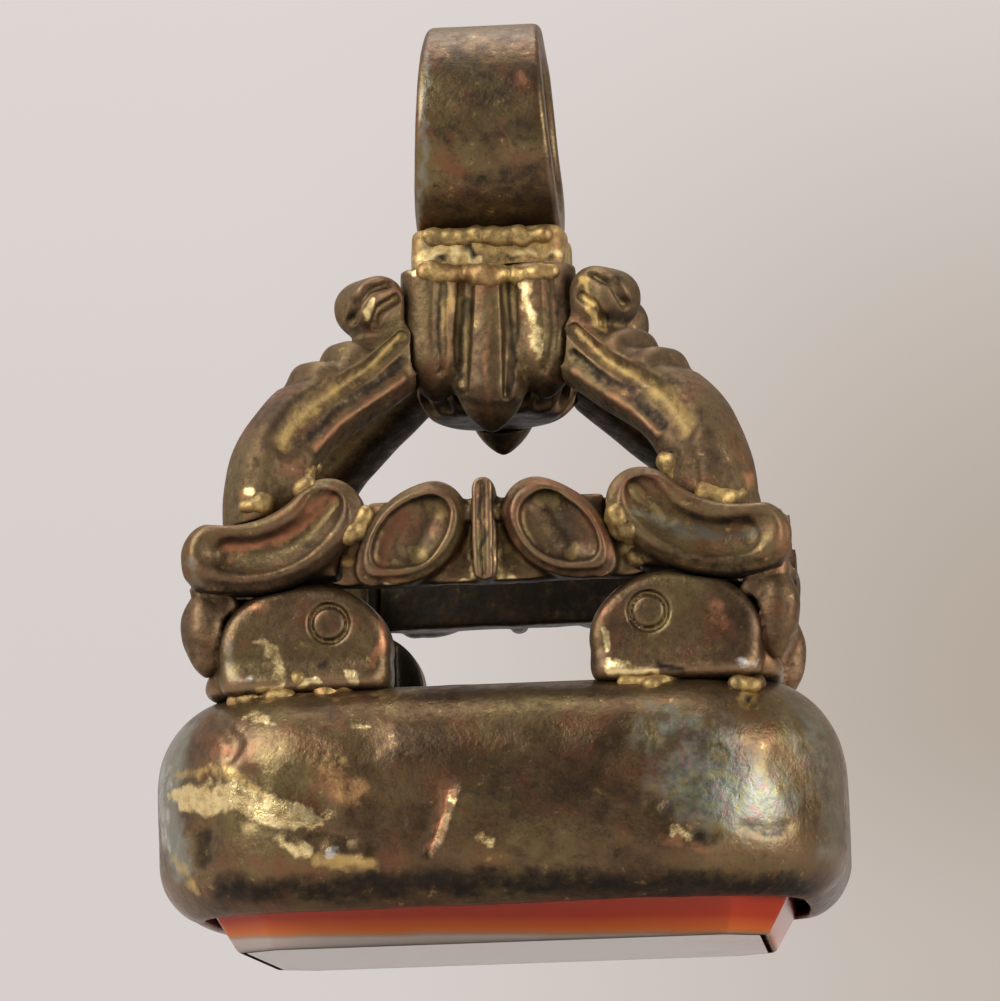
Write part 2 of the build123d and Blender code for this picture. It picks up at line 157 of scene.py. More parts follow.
class SealColours(bpy.types.PropertyGroup):
    """Colours of the metal, the stone and the stage"""

    bronze: colour("Bronze", "Worn metal", (0.125, 0.077, 0.037))
    umber: colour("Umber", "Dark tarnish", (0.060, 0.036, 0.020))
    olive: colour("Olive", "Greenish tarnish", (0.150, 0.110, 0.045))
    # Russet is also painted as an orange highlight on the loop
    russet: colour("Russet", "Red tarnish", (0.170, 0.068, 0.034))
    # Gilt is also painted as highlights on the collet and the crown
    gilt: colour("Gilt", "Gilding left in the hollows", (0.470, 0.320, 0.115))
    # Fresh gold is also painted as highlights
    foil_and_highlight: colour("Foil", "Fresh gold where the metal was scraped", (0.760, 0.590, 0.290))
    # Copper is also painted as highlights and glints
    copper_and_highlight: colour("Copper", "Rubbed copper", (0.420, 0.185, 0.090))
    blush: colour("Blush", "Rubbed ridges", (0.300, 0.185, 0.100))
    # This grey-green is also painted as a highlight on the loop's edge and as a pale reflection at the
    # collet's left end
    verdigris_and_sheen: colour("Verdigris", "Grey-green bloom", (0.230, 0.225, 0.175))
    # Silver is also painted as a pale reflection at the collet's left end
    silver: colour("Silver", "Bright bare spots", (0.620, 0.600, 0.560))
    # This dark colour is laid both as dirt and as painted shade and dark painted reflections
    grime_and_shade: colour("Grime", "Soot-dark dirt", (0.018, 0.014, 0.010))
    agate_red: colour("Agate red", "Upper layer of the stone", (0.400, 0.036, 0.009))
    agate_orange: colour("Agate orange", "Lower part of the red layer", (0.600, 0.145, 0.026))
    agate_tan: colour("Agate tan", "Where the red layer ends", (0.420, 0.230, 0.120))
    agate_white: colour("Agate white", "Pale layer of the stone", (0.490, 0.415, 0.375))
    pitch: colour("Pitch", "Cement behind the stone", (0.020, 0.014, 0.010))
    pitch_dust: colour("Pitch dust", "Dust in the cement", (0.060, 0.050, 0.040))
    even_light: colour("Even light", "Light on dull surfaces from all sides", (0.340, 0.330, 0.320))
    paper: colour("Paper", "Floor", (0.600, 0.560, 0.545))
    backdrop_light: colour("Backdrop, lit side", "Pale surround at the left", (0.735, 0.675, 0.652))
    backdrop_shade: colour("Backdrop, shaded side", "Pale surround at the right", (0.455, 0.390, 0.325))


def sizes():
    return bpy.context.scene.fob_seal_sizes


def colours():
    return bpy.context.scene.fob_seal_colours


# The photograph's view


def camera_pose():
    """Place of the camera and its turn."""
    size = sizes()
    turn, lift = size.view_turn, size.view_rise
    back = Vector((math.sin(turn) * math.cos(lift), -math.cos(turn) * math.cos(lift), math.sin(lift)))
    look = (-back).to_track_quat("-Z", "Y").to_matrix().to_4x4()
    place = Vector((0.0, 0.0, size.view_height)) + back * size.view_distance
    return Matrix.Translation(place) @ look @ Matrix.Rotation(-size.view_roll, 4, "Z")


def pixels_per_slope():
    return sizes().lens / SENSOR_WIDTH * PHOTO_SIZE[0]


def seen(points):
    """Pixel of the photograph for each point in millimetres.

    Points of the back half are turned half round first, so that the back gets the wear, painted shade and
    painted highlights of the front.
    """
    turned = points * np.where(points[:, 1:2] > 0.0, -1.0, 1.0) ** np.array((1, 1, 0))
    pose = np.array(camera_pose().inverted())
    local = turned / TO_MM @ pose[:3, :3].T + pose[:3, 3]
    across = PHOTO_SIZE[0] / 2 - pixels_per_slope() * local[:, 0] / local[:, 2]
    down = PHOTO_SIZE[1] / 2 + pixels_per_slope() * local[:, 1] / local[:, 2]
    return np.stack((across, down), axis=1)


def sight(pixel):
    """Start and direction of the line on which the photograph sees a pixel."""
    pose = camera_pose()
    slope = pixels_per_slope()
    aim = Vector(((pixel[0] - PHOTO_SIZE[0] / 2) / slope, (PHOTO_SIZE[1] / 2 - pixel[1]) / slope, -1.0))
    return pose.translation, (pose.to_3x3() @ aim).normalized()


# Repeatable unevenness

# Whole numbers that mix a cell of a lattice into a value without a pattern
CELL_STEPS = np.array((374761393, 668265263, 974711))
SEED_STEP = 1274126
MIX_STEP = 1274126177
LONG_WORD = 0xFFFFFFFF
SHORT_WORD = 0xFFFF

# Row of the lattice that counted things take their values from
COUNTED_ROW = (7, 3)


def lattice_value(cells, seed):
    """Value between -1 and 1 for each cell of a lattice, the same on every run."""
    mixed = ((cells * CELL_STEPS).sum(axis=-1) + seed * SEED_STEP) & LONG_WORD
    mixed = ((mixed ^ (mixed >> 13)) * MIX_STEP) & LONG_WORD
    mixed = mixed ^ (mixed >> 16)
    return (mixed & SHORT_WORD) / (SHORT_WORD / 2) - 1.0


def soft(share):
    """Share from 0 to 1 with both ends eased."""
    return share * share * (3.0 - 2.0 * share)


def chance(number, seed):
    """Value between -1 and 1 for a counted thing, the same on every run."""
    return float(lattice_value(np.array((number, *COUNTED_ROW)), seed))


def uneven(points, spacing, seed):
    """Smooth noise between -1 and 1 whose swells are about as far apart as the spacing."""
    place = points / spacing
    cell = np.floor(place).astype(np.int64)
    part = soft(place - cell)
    total = np.zeros(len(points))
    for corner in np.ndindex(2, 2, 2):
        weight = np.prod(np.where(np.array(corner) == 1, part, 1.0 - part), axis=1)
        total += weight * lattice_value(cell + np.array(corner), seed)
    return total


def rise(value, low, high):
    """Soft step from 0 at low to 1 at high."""
    return soft(np.clip((value - low) / (high - low), 0.0, 1.0))


def bump_shape(distance, radius):
    """Round bump of height 1 that ends at the radius."""
    return np.clip(1.0 - (distance / radius) ** 2, 0.0, 1.0) ** 2


def along(flat, line):
    """Distance of flat points from a joined line, and the share of the line where each is nearest."""
    line = np.array(line, float)
    steps = np.diff(line, axis=0)
    spans = np.linalg.norm(steps, axis=1)
    starts = np.concatenate(([0.0], np.cumsum(spans)))
    nearest = np.full(len(flat), np.inf)
    share = np.zeros(len(flat))
    for start, step, span, before in zip(line[:-1], steps, spans, starts):
        part = np.clip(((flat - start) @ step) / span**2, 0.0, 1.0)
        gap = np.linalg.norm(flat - start - part[:, None] * step, axis=1)
        closer = gap < nearest
        nearest = np.where(closer, gap, nearest)
        share = np.where(closer, (before + part * span) / starts[-1], share)
    return nearest, share


def ridge_shape(flat, line, widths):
    """Round ridge of height 1 along a line, with its half widths spread evenly over the line."""
    gap, share = along(flat, line)
    return bump_shape(gap, np.interp(share, np.linspace(0.0, 1.0, len(widths)), widths))


def wander(points, amount, spacing, seed):
    """Uneven sideways shift of flat points, coarse and fine, that gives marks a ragged border."""
    shifts = []
    for number in (seed, seed + 1):
        coarse = uneven(points, spacing, number)
        fine = uneven(points, spacing / FINE_PARTS, number + FINE_SEED)
        shifts.append(amount * (COARSE_SHARE * coarse + FINE_SHARE * fine))
    return np.stack(shifts, axis=1)


# Skin of a piece


def even_mesh(shape, grain):
    """Mesh with square cells of one size over a closed shape."""
    mesh = bpy.data.meshes.new("skin")
    shape.to_mesh(mesh)
    shape.free()
    carrier = bpy.data.objects.new("skin", mesh)
    bpy.context.scene.collection.objects.link(carrier)
    remesh = carrier.modifiers.new("Even skin", "REMESH")
    remesh.mode = "VOXEL"
    remesh.voxel_size = grain
    graph = bpy.context.evaluated_depsgraph_get()
    even = bpy.data.meshes.new_from_object(carrier.evaluated_get(graph))
    bpy.data.objects.remove(carrier)
    bpy.data.meshes.remove(mesh)
    return even


class Skin:
    """Even mesh over a piece, in millimetres, that is worn and pressed before it becomes an object."""

    def __init__(self, shape, grain, node=None):
        self.node = node
        bmesh.ops.remove_doubles(shape, verts=shape.verts, dist=WELD)
        bmesh.ops.scale(shape, verts=shape.verts, vec=(TO_MM, TO_MM, TO_MM))
        self.mesh = even_mesh(shape, grain * TO_MM)
        count = len(self.mesh.vertices)
        if count == 0:
            raise RuntimeError("A piece lost its skin: its solid is not closed")
        self.points = np.zeros(count * 3)
        self.mesh.vertices.foreach_get("co", self.points)
        self.points = self.points.reshape(-1, 3)
        pairs = np.zeros(len(self.mesh.edges) * 2, np.int64)
        self.mesh.edges.foreach_get("vertices", pairs)
        self.pairs = pairs.reshape(-1, 2)
        self.neighbours = np.bincount(pairs, minlength=count)
        self.paint = {}

    @classmethod
    def of_node(cls, node, grain=None):
        """Skin over one piece of the frame, with the grain of the cage where none is given."""
        shape = bmesh.new()
        shape.from_mesh(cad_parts[node].data)
        return cls(shape, grain or sizes().cage_grain, node)

    def normals(self):
        """Direction of the surface at each point."""
        self.mesh.vertices.foreach_set("co", self.points.ravel())
        self.mesh.update()
        found = np.zeros(len(self.points) * 3)
        self.mesh.vertex_normals.foreach_get("vector", found)
        return found.reshape(-1, 3)

    def relaxed(self, values, passes):
        """Values of the points averaged with their neighbours."""
        first, second = self.pairs.T
        count = len(self.points)
        for _ in range(passes):
            total = np.stack(
                [
                    np.bincount(first, column[second], count) + np.bincount(second, column[first], count)
                    for column in values.T
                ],
                axis=1,
            )
            values = 0.5 * values + 0.5 * total / self.neighbours[:, None]
        return values

    def wear(self, passes):
        """Rounds the edges."""
        self.points = self.relaxed(self.points, passes)

    def swell(self, amount):
        """Moves each point along the surface's direction."""
        self.points = self.points + self.normals() * amount[:, None]

    def pillow(self, share):
        """Lets upright sides fall back from their middles, as hammered sheet does."""
        off_middle = (self.points[:, :2] / TO_MM / CAD_HIGH[:2]) ** 2
        self.points[:, :2] *= 1.0 - share * off_middle[:, ::-1]

    def roughen(self, depth, spacing, seed):
        """Uneven surface of a hand-worn piece, nowhere above the old one."""
        self.swell(depth * (uneven(self.points, spacing, seed) - 1.0))

    def views(self, right, back):
        """Front and side view of a corner piece, each with the direction that it shows."""
        front = self.points[:, (0, 2)] * (right, 1)
        side = self.points[:, (1, 2)] * (back, 1)
        return (front, BACK * back), (side, RIGHT * right)

    def facing(self, toward):
        """How much each point faces a direction, 0 to 1."""
        return rise(self.normals() @ np.array(toward, float), *FACING_RANGE)

    def shown(self):
        """How much each point faces the front, or the back on the back half, 0 to 1."""
        outward = self.normals()[:, 1] * np.where(self.points[:, 1] > 0.0, 1.0, -1.0)
        return rise(outward, *SHOWN_RANGE)

    def press(self, flat, toward, line, widths, depth):
        """Groove along a line on the side that faces a direction; a negative depth raises a ridge."""
        amount = depth * ridge_shape(flat, line, widths) * self.facing(toward)
        self.points = self.points - amount[:, None] * np.array(toward, float)

    def strike(self, marks, sway=DENT_WANDER):
        """Dents and, with a negative depth, bumps along lines on the photograph."""
        amount = np.zeros(len(self.points))
        flat = seen(self.points) + wander(self.points, sway, MARK_SPACING, MARK_SEED)
        for line, widths, depth in marks:
            amount -= depth * ridge_shape(flat, line, widths)
        self.swell(amount * self.shown())

    def tint(self, marks):
        """Paints strokes that lie on the photograph: each has a label, a line, half widths and a strength."""
        flat = seen(self.points) + wander(self.points, MARK_WANDER, MARK_SPACING, MARK_SEED)
        shown = self.shown()
        for label, line, widths, strength in marks:
            self.add_paint(label, strength * ridge_shape(flat, line, widths) * shown)

    def dye(self, label, flat, toward, line, widths, strength):
        """Paints a stroke along a line on the side that faces a direction."""
        flat = flat + wander(self.points, DYE_WANDER, DYE_SPACING, DYE_SEED)
        self.add_paint(label, strength * ridge_shape(flat, line, widths) * self.facing(toward))

    def add_paint(self, label, stroke):
        """Lays a stroke over what is painted already."""
        self.paint[label] = np.maximum(self.paint.get(label, 0.0), stroke)

    def paint_inner_shade(self):
        """Paints shade, as dark paint, on the sides that face the seal's axis or the deck."""
        normals = self.normals()
        apart = np.maximum(np.linalg.norm(self.points[:, :2], axis=1), NEAR_AXIS)
        inward = -(normals[:, :2] * self.points[:, :2]).sum(axis=1) / apart
        in_shade = np.maximum(inward, -SHADE_UNDER_LEDGES * normals[:, 2])
        self.add_paint("dirt", INNER_SHADE_STRENGTH * rise(in_shade, *INNER_SHADE_RANGE))

    def relief(self, passes, span):
        """Paints the hollows and the ridges that the surface has."""
        sink = ((self.relaxed(self.points, passes) - self.points) * self.normals()).sum(axis=1)
        self.paint["hollow"] = np.clip(sink / span, 0.0, 1.0)
        self.paint["ridge"] = np.clip(-sink / span, 0.0, 1.0)

    def into_piece(self, name, material, slot, nodes=()):
        """Makes the object, at its place in the frame, and hides its CAD nodes."""
        self.mesh.vertices.foreach_set("co", (self.points / TO_MM).ravel())
        for label, values in self.paint.items():
            layer = self.mesh.attributes.new(label, "FLOAT", "POINT")
            layer.data.foreach_set("value", values.astype(np.float32))
        self.mesh.name = name
        self.mesh.materials.clear()
        self.mesh.materials.append(material)
        self.mesh.polygons.foreach_set("use_smooth", np.ones(len(self.mesh.polygons), bool))
        self.mesh.update()
        piece = bpy.data.objects.new(name, self.mesh)
        bpy.context.scene.collection.objects.link(piece)
        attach(piece, "root")
        if nodes:
            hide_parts(*nodes)

    def into_worn_piece(self, metal, slot):
        """Makes the worn piece and hides the node under the skin."""
        self.into_piece(f"worn_{self.node}", metal, slot, [self.node])


# Finishes


def join(tree, node, sockets):
    """Sets each socket of a node to a value, or joins it to another node's output."""
    for key, value in sockets.items():
        if isinstance(value, bpy.types.NodeSocket):
            tree.links.new(value, node.inputs[key])
        else:
            node.inputs[key].default_value = value


def shader_node(tree, kind, sockets, **options):
    """Adds a node with its options and sockets."""
    made = tree.nodes.new(kind)
    for option, value in options.items():
        setattr(made, option, value)
    join(tree, made, sockets)
    return made


def speckle(tree, place, spacing, detail=4.0, roughness=0.6):
    """Noise whose spots are about as far apart as the spacing in metres."""
    sockets = {"Vector": place, "Scale": 1.0 / spacing, "Detail": detail, "Roughness": roughness}
    return shader_node(tree, "ShaderNodeTexNoise", sockets).outputs["Fac"]


def painted(tree, label):
    """Value painted on the piece."""
    return shader_node(tree, "ShaderNodeAttribute", {}, attribute_name=label).outputs["Fac"]


def math_node(tree, operation, *values):
    sockets = dict(enumerate(values))
    return shader_node(tree, "ShaderNodeMath", sockets, operation=operation).outputs[0]


def step_node(tree, value, low, high):
    """Soft step from 0 at low to 1 at high."""
    sockets = {"Value": value, "From Min": low, "From Max": high}
    return shader_node(tree, "ShaderNodeMapRange", sockets, interpolation_type="SMOOTHSTEP").outputs["Result"]


def broken(tree, value, grain, amount, low, high):
    """Painted value with a ragged border."""
    swing = math_node(tree, "MULTIPLY_ADD", grain, amount, -0.5 * amount)
    return step_node(tree, math_node(tree, "ADD", value, swing), low, high)


# Sockets of a Mix node for colours, which share their names with those for numbers
MIX_SHARE, MIX_FIRST, MIX_SECOND = 0, 6, 7
MIX_RESULT = 2


def opaque(value):
    """Colour as a socket takes it; another node's output stays as it is."""
    return value if isinstance(value, bpy.types.NodeSocket) else (*value, 1.0)


def blend(tree, share, first, second):
    """Mixes two colours."""
    sockets = {MIX_SHARE: share, MIX_FIRST: opaque(first), MIX_SECOND: opaque(second)}
    return shader_node(tree, "ShaderNodeMix", sockets, data_type="RGBA").outputs[MIX_RESULT]


def bumped(tree, height, strength, depth, normal=None):
    """Direction of a surface with bumps on it, over those of a coarser bump."""
    sockets = {"Strength": strength, "Distance": depth, "Height": height}
    if normal is not None:
        sockets["Normal"] = normal
    return shader_node(tree, "ShaderNodeBump", sockets).outputs["Normal"]


def shaded(tree, value, stops):
    """Colour ramp from place and colour pairs."""
    ramp = shader_node(tree, "ShaderNodeValToRGB", {"Fac": value})
    band = ramp.color_ramp
    for index, (place, tint) in enumerate(stops):
        stop = band.elements[index] if index < 2 else band.elements.new(place)
        stop.position = place
        stop.color = opaque(tint)
    return ramp.outputs["Color"]


def new_material(name):
    """Empty material with a Principled shader and Object coordinates."""
    material = bpy.data.materials.new(name)
    material.use_nodes = True
    tree = material.node_tree
    shader = tree.nodes["Principled BSDF"]
    place = tree.nodes.new("ShaderNodeTexCoord").outputs["Object"]
    return material, tree, shader, place


# Spacing of the tarnish in metres, from broad clouds to dust
CLOUD_SPACING = 0.0030
FLUSH_SPACING = 0.0016
FILM_SPACING = 0.0007
FLECK_SPACING = 0.0005
DUST_SPACING = 0.00016

# How metallic the tarnish is, how far its dullness swings, and how much less dull scraped gold is
TARNISH_METAL = 0.85
DULL_SWING = 0.6
FOIL_SHEEN = 0.12

# Thin films of tarnish, from straw through green and blue to rose
FILM_STOPS = (
    (0.30, (0.24, 0.15, 0.07)),
    (0.40, (0.34, 0.27, 0.13)),
    (0.47, (0.25, 0.27, 0.17)),
    (0.54, (0.22, 0.24, 0.22)),
    (0.61, (0.33, 0.21, 0.18)),
    (0.70, (0.36, 0.24, 0.12)),
)


def worn_gilt(name, body, shade, tint, dullness):
    """Tarnished metal with gilding left in its hollows, rubbed ridges and painted marks of wear, of shade and
    of highlights.
    """
    tone = colours()
    material, tree, shader, place = new_material(name)
    cloud = speckle(tree, place, CLOUD_SPACING, detail=6.0, roughness=0.7)
    flush = speckle(tree, place, FLUSH_SPACING, detail=4.0, roughness=0.65)
    fleck = speckle(tree, place, FLECK_SPACING, detail=5.0, roughness=0.7)
    dust = speckle(tree, place, DUST_SPACING, detail=3.0)
    film = shaded(tree, speckle(tree, place, FILM_SPACING, detail=7.0, roughness=0.8), FILM_STOPS)
    leaf = shaded(tree, fleck, ((0.30, tone.gilt), (0.55, tone.foil_and_highlight)))
    skin = shaded(tree, cloud, ((0.34, shade), (0.48, body), (0.64, tint)))
    for grain, low, high, share, over in (
        (flush, 0.50, 0.66, 0.55, tone.russet),
        (flush, 0.46, 0.32, 0.40, tone.umber),
        (fleck, 0.50, 0.66, 0.60, shade),
        (fleck, 0.40, 0.28, 0.45, tone.gilt),
        (dust, 0.55, 0.70, 0.35, tone.grime_and_shade),
    ):
        spots = step_node(tree, grain, low, high)
        skin = blend(tree, math_node(tree, "MULTIPLY", spots, share), skin, over)
    marks = {}
    # Some of the painted marks below are painted shade, painted reflections and painted highlights as well as
    # tarnish, dirt and wear
    for label, ragged, low, high, share, over in (
        ("ridge", 1.1, 0.35, 1.0, 0.45, tone.blush),
        ("hollow", 0.8, 0.15, 0.9, 0.45, tone.grime_and_shade),
        ("hollow", 1.6, 0.65, 1.0, 0.3, tone.gilt),
        ("rust_and_highlight", 0.9, 0.2, 1.1, 1.0, tone.russet),
        ("bloom_and_sheen", 1.0, 0.25, 1.2, 1.0, tone.verdigris_and_sheen),
        ("film", 1.0, 0.15, 1.2, 1.0, film),
        ("copper_and_highlight", 1.0, 0.25, 1.1, 1.0, tone.copper_and_highlight),
        ("bright", 1.1, 0.25, 0.85, 1.0, tone.gilt),
        ("foil_and_highlight", 0.9, 0.25, 0.65, 1.0, leaf),
        ("bare_and_sheen", 0.8, 0.35, 0.85, 1.0, tone.silver),
        # This dark paint is dirt in some marks, and painted shade and dark painted reflections in others
        ("dirt", 1.0, 0.2, 1.0, 1.0, tone.grime_and_shade),
    ):
        marks[label] = broken(tree, painted(tree, label), fleck, ragged, low, high)
        skin = blend(tree, math_node(tree, "MULTIPLY", marks[label], share), skin, over)
    worn = math_node(tree, "MULTIPLY_ADD", fleck, DULL_SWING, dullness - DULL_SWING / 2)
    worn = math_node(tree, "MULTIPLY_ADD", marks["foil_and_highlight"], -FOIL_SHEEN, worn)
    normal = bumped(tree, flush, strength=0.5, depth=0.00012)
    normal = bumped(tree, fleck, strength=0.5, depth=0.00005, normal=normal)
    normal = bumped(tree, dust, strength=0.4, depth=0.000018, normal=normal)
    join(tree, shader, {"Base Color": skin, "Metallic": TARNISH_METAL, "Roughness": worn, "Normal": normal})
    return material


def old_bronze(name, dullness):
    """Tarnished metal of the cage, the loop and the collet."""
    tone = colours()
    return worn_gilt(name, tone.bronze, tone.umber, tone.olive, dullness)


# Layers of the stone: height in metres above its face, how they climb to the left and how they wave
LAYER_SPAN = 0.0012
LAYER_TILT = 0.025
LAYER_WAVE = 0.0003
WAVE_SPACING = 0.006

# Spacing in metres of the nicks in the stone and of the clods in the cement
NICK_SPACING = 0.0003
CLOD_SPACING = 0.0005


def agate():
    """Layered agate: red above, orange, then a pale layer at the face."""
    tone = colours()
    material, tree, shader, place = new_material("layered_agate")
    parts = shader_node(tree, "ShaderNodeSeparateXYZ", {0: place}).outputs
    wave = speckle(tree, place, WAVE_SPACING, detail=3.0)
    layer = math_node(tree, "MULTIPLY_ADD", wave, LAYER_WAVE, -LAYER_WAVE / 2)
    layer = math_node(tree, "MULTIPLY_ADD", parts["X"], LAYER_TILT, layer)
    layer = math_node(tree, "ADD", parts["Z"], layer)
    span = {"Value": layer, "From Min": 0.0, "From Max": LAYER_SPAN}
    share = shader_node(tree, "ShaderNodeMapRange", span).outputs["Result"]
    stops = (
        (0.0, tone.agate_white),
        (0.14, tone.agate_white),
        (0.23, tone.agate_tan),
        (0.34, tone.agate_orange),
        (0.75, tone.agate_red),
    )
    polish = {
        "Base Color": shaded(tree, share, stops),
        "Roughness": 0.18,
        "IOR": 1.54,
        "Subsurface Weight": 0.25,
        "Subsurface Radius": (0.0009, 0.0004, 0.0003),
        "Subsurface Scale": 1.0,
        "Normal": bumped(tree, speckle(tree, place, NICK_SPACING), strength=0.15, depth=0.00003),
    }
    join(tree, shader, polish)
    return material


def pitch():
    """Dull cement with dust in it."""
    tone = colours()
    material, tree, shader, place = new_material("setting_pitch")
    clod = speckle(tree, place, CLOD_SPACING)
    skin = shaded(tree, clod, ((0.4, tone.pitch), (0.7, tone.pitch_dust)))
    normal = bumped(tree, clod, strength=0.5, depth=0.0001)
    join(tree, shader, {"Base Color": skin, "Roughness": 0.8, "Normal": normal})
    return material


# Marks of wear, painted shade and painted highlights, placed in pixels of the photograph

# A tint has a paint's label, a line, half widths along it and a strength.
# A dent has a line, half widths along it and a depth in millimetres; below zero it is a bump.


def spot(across, down):
    """Short line that stands for a round mark."""
    return ((across, down), (across + 1, down))


LOOP_TINTS = (
    ("copper_and_highlight", spot(522, 78), (14,), 1.0),
    ("bloom_and_sheen", ((430, 36), (480, 31), (536, 38)), (9, 10, 9), 0.35),
    # Painted highlight: the pale grey-green stroke along the loop's left edge stands for the light that edge
    # catches
    ("bloom_and_sheen", ((428, 50), (425, 120), (418, 225)), (8, 9, 8), 0.75),
    # Painted highlight: an orange glint on the loop, painted in the red tarnish colour
    ("rust_and_highlight", ((436, 160), (464, 172)), (18, 14), 0.8),
    ("copper_and_highlight", ((500, 118), (510, 150)), (9, 6), 0.5),
    ("dirt", ((445, 60), (490, 90), (530, 70)), (40, 60, 40), 0.6),
    ("dirt", ((450, 130), (530, 130)), (40, 40), 0.5),
    # Painted shade: the lower part of the loop faces down towards the dark surroundings and is painted near
    # black
    ("dirt", ((440, 205), (490, 198), (548, 205)), (36, 46, 36), 0.55),
    ("dirt", ((470, 178), (535, 172)), (18, 20), 0.6),
)
COLLAR_TINTS = (
    ("foil_and_highlight", ((418, 256), (445, 250), (480, 262)), (14, 11, 10), 0.48),
    ("foil_and_highlight", ((510, 248), (540, 258), (568, 250)), (12, 13, 12), 0.45),
    ("foil_and_highlight", ((414, 268), (470, 271), (570, 268)), (6, 7, 6), 0.5),
    ("bloom_and_sheen", ((425, 242), (455, 244)), (9, 9), 0.6),
    ("dirt", spot(440, 258), (11,), 0.85),
    ("dirt", ((462, 244), (474, 256)), (9, 8), 0.85),
    ("dirt", spot(508, 256), (10,), 0.8),
    ("dirt", spot(550, 260), (10,), 0.8),
)
CROWN_DENTS = (
    (((440, 280), (438, 330), (442, 372)), (7, 8, 6), 0.12),
    (((466, 278), (463, 330), (462, 395)), (9, 10, 6), 0.20),
    (((508, 278), (510, 330), (508, 395)), (9, 10, 6), 0.20),
    (((548, 280), (552, 330), (545, 370)), (7, 8, 6), 0.12),
)
CROWN_TINTS = (
    ("dirt", ((466, 280), (463, 330), (462, 395)), (8, 10, 7), 0.75),
    ("dirt", ((508, 280), (510, 330), (508, 395)), (8, 10, 7), 0.75),
    ("dirt", ((438, 282), (436, 330), (440, 370)), (8, 9, 6), 0.6),
    ("dirt", ((560, 300), (562, 340), (552, 372)), (7, 8, 6), 0.6),
    # Partly painted highlights: copper and gold along the crests of the lobes, where they are rubbed and
    # catch the light
    ("copper_and_highlight", ((446, 300), (450, 360), (432, 386)), (6, 7, 9), 0.5),
    ("copper_and_highlight", ((487, 300), (486, 380), (487, 426)), (7, 9, 10), 0.5),
    ("copper_and_highlight", ((530, 300), (531, 350), (553, 381)), (6, 7, 9), 0.5),
    ("foil_and_highlight", ((522, 284), (534, 320), (540, 356)), (9, 13, 10), 0.55),
    ("bright", ((446, 290), (444, 330)), (9, 10), 0.5),
    ("foil_and_highlight", ((412, 276), (470, 278), (520, 277)), (6, 7, 6), 0.55),
    ("dirt", ((410, 395), (440, 405), (530, 405), (565, 392)), (12, 12, 12, 12), 0.7),
)
LEFT_CURL = ((350, 322), (354, 302), (368, 288), (388, 283)), (6, 8, 8, 6)
RIGHT_CURL = ((592, 274), (614, 282), (626, 304)), (6, 8, 7)
ARM_DENTS = (
    (*LEFT_CURL, 0.28),
    (((374, 326), (381, 308), (397, 298)), (5, 7, 6), 0.22),
    (((580, 296), (592, 304), (604, 322)), (6, 7, 5), 0.22),
    (*RIGHT_CURL, 0.28),
)
ARM_TINTS = (
    ("dirt", *LEFT_CURL, 0.6),
    ("dirt", *RIGHT_CURL, 0.6),
    # Painted highlights: a pink glint at the right arm's lower end, and a pink and gold highlight on the
    # rounded lower end of the left arm
    ("copper_and_highlight", spot(747, 480), (14,), 0.8),
    ("foil_and_highlight", spot(250, 492), (9,), 0.7),
    ("copper_and_highlight", spot(246, 496), (15,), 0.6),
    ("bloom_and_sheen", ((690, 350), (735, 410), (752, 455)), (12, 14, 12), 0.45),
    ("dirt", ((595, 392), (640, 430), (668, 452)), (10, 12, 10), 0.6),
    ("dirt", ((392, 405), (350, 432), (330, 460)), (10, 12, 10), 0.6),
    ("foil_and_highlight", ((372, 302), (362, 318)), (7, 6), 0.7),
    ("bright", ((586, 280), (590, 306), (606, 330)), (7, 7, 8), 0.8),
)
KNEE_TINTS = (
    ("rust_and_highlight", ((225, 550), (262, 540), (298, 525), (338, 492)), (12, 16, 16, 9), 0.9),
    ("copper_and_highlight", ((228, 552), (300, 526), (335, 498)), (14, 16, 9), 0.7),
    ("bloom_and_sheen", ((636, 508), (688, 534), (730, 534), (762, 530)), (9, 15, 16, 12), 0.65),
    ("dirt", ((668, 528), (715, 534), (755, 532)), (12, 15, 12), 0.5),
    ("dirt", ((205, 568), (260, 566), (330, 540)), (9, 10, 9), 0.4),
    ("dirt", ((650, 545), (700, 562), (780, 560)), (9, 10, 9), 0.6),
    ("bright", ((608, 494), (618, 530), (640, 562)), (7, 8, 7), 0.7),
    ("bright", ((372, 500), (360, 535), (348, 562)), (7, 8, 7), 0.7),
    ("bloom_and_sheen", ((190, 560), (196, 585)), (14, 12), 0.6),
)
PETAL_DENTS = (
    (((481, 484), (481, 530), (483, 576)), (6, 6, 5), 0.18),
    (((497, 484), (497, 530), (497, 576)), (6, 6, 5), 0.18),
    (((416, 548), (434, 510)), (22, 20), 0.3),
    (((548, 504), (572, 542)), (20, 22), 0.3),
)
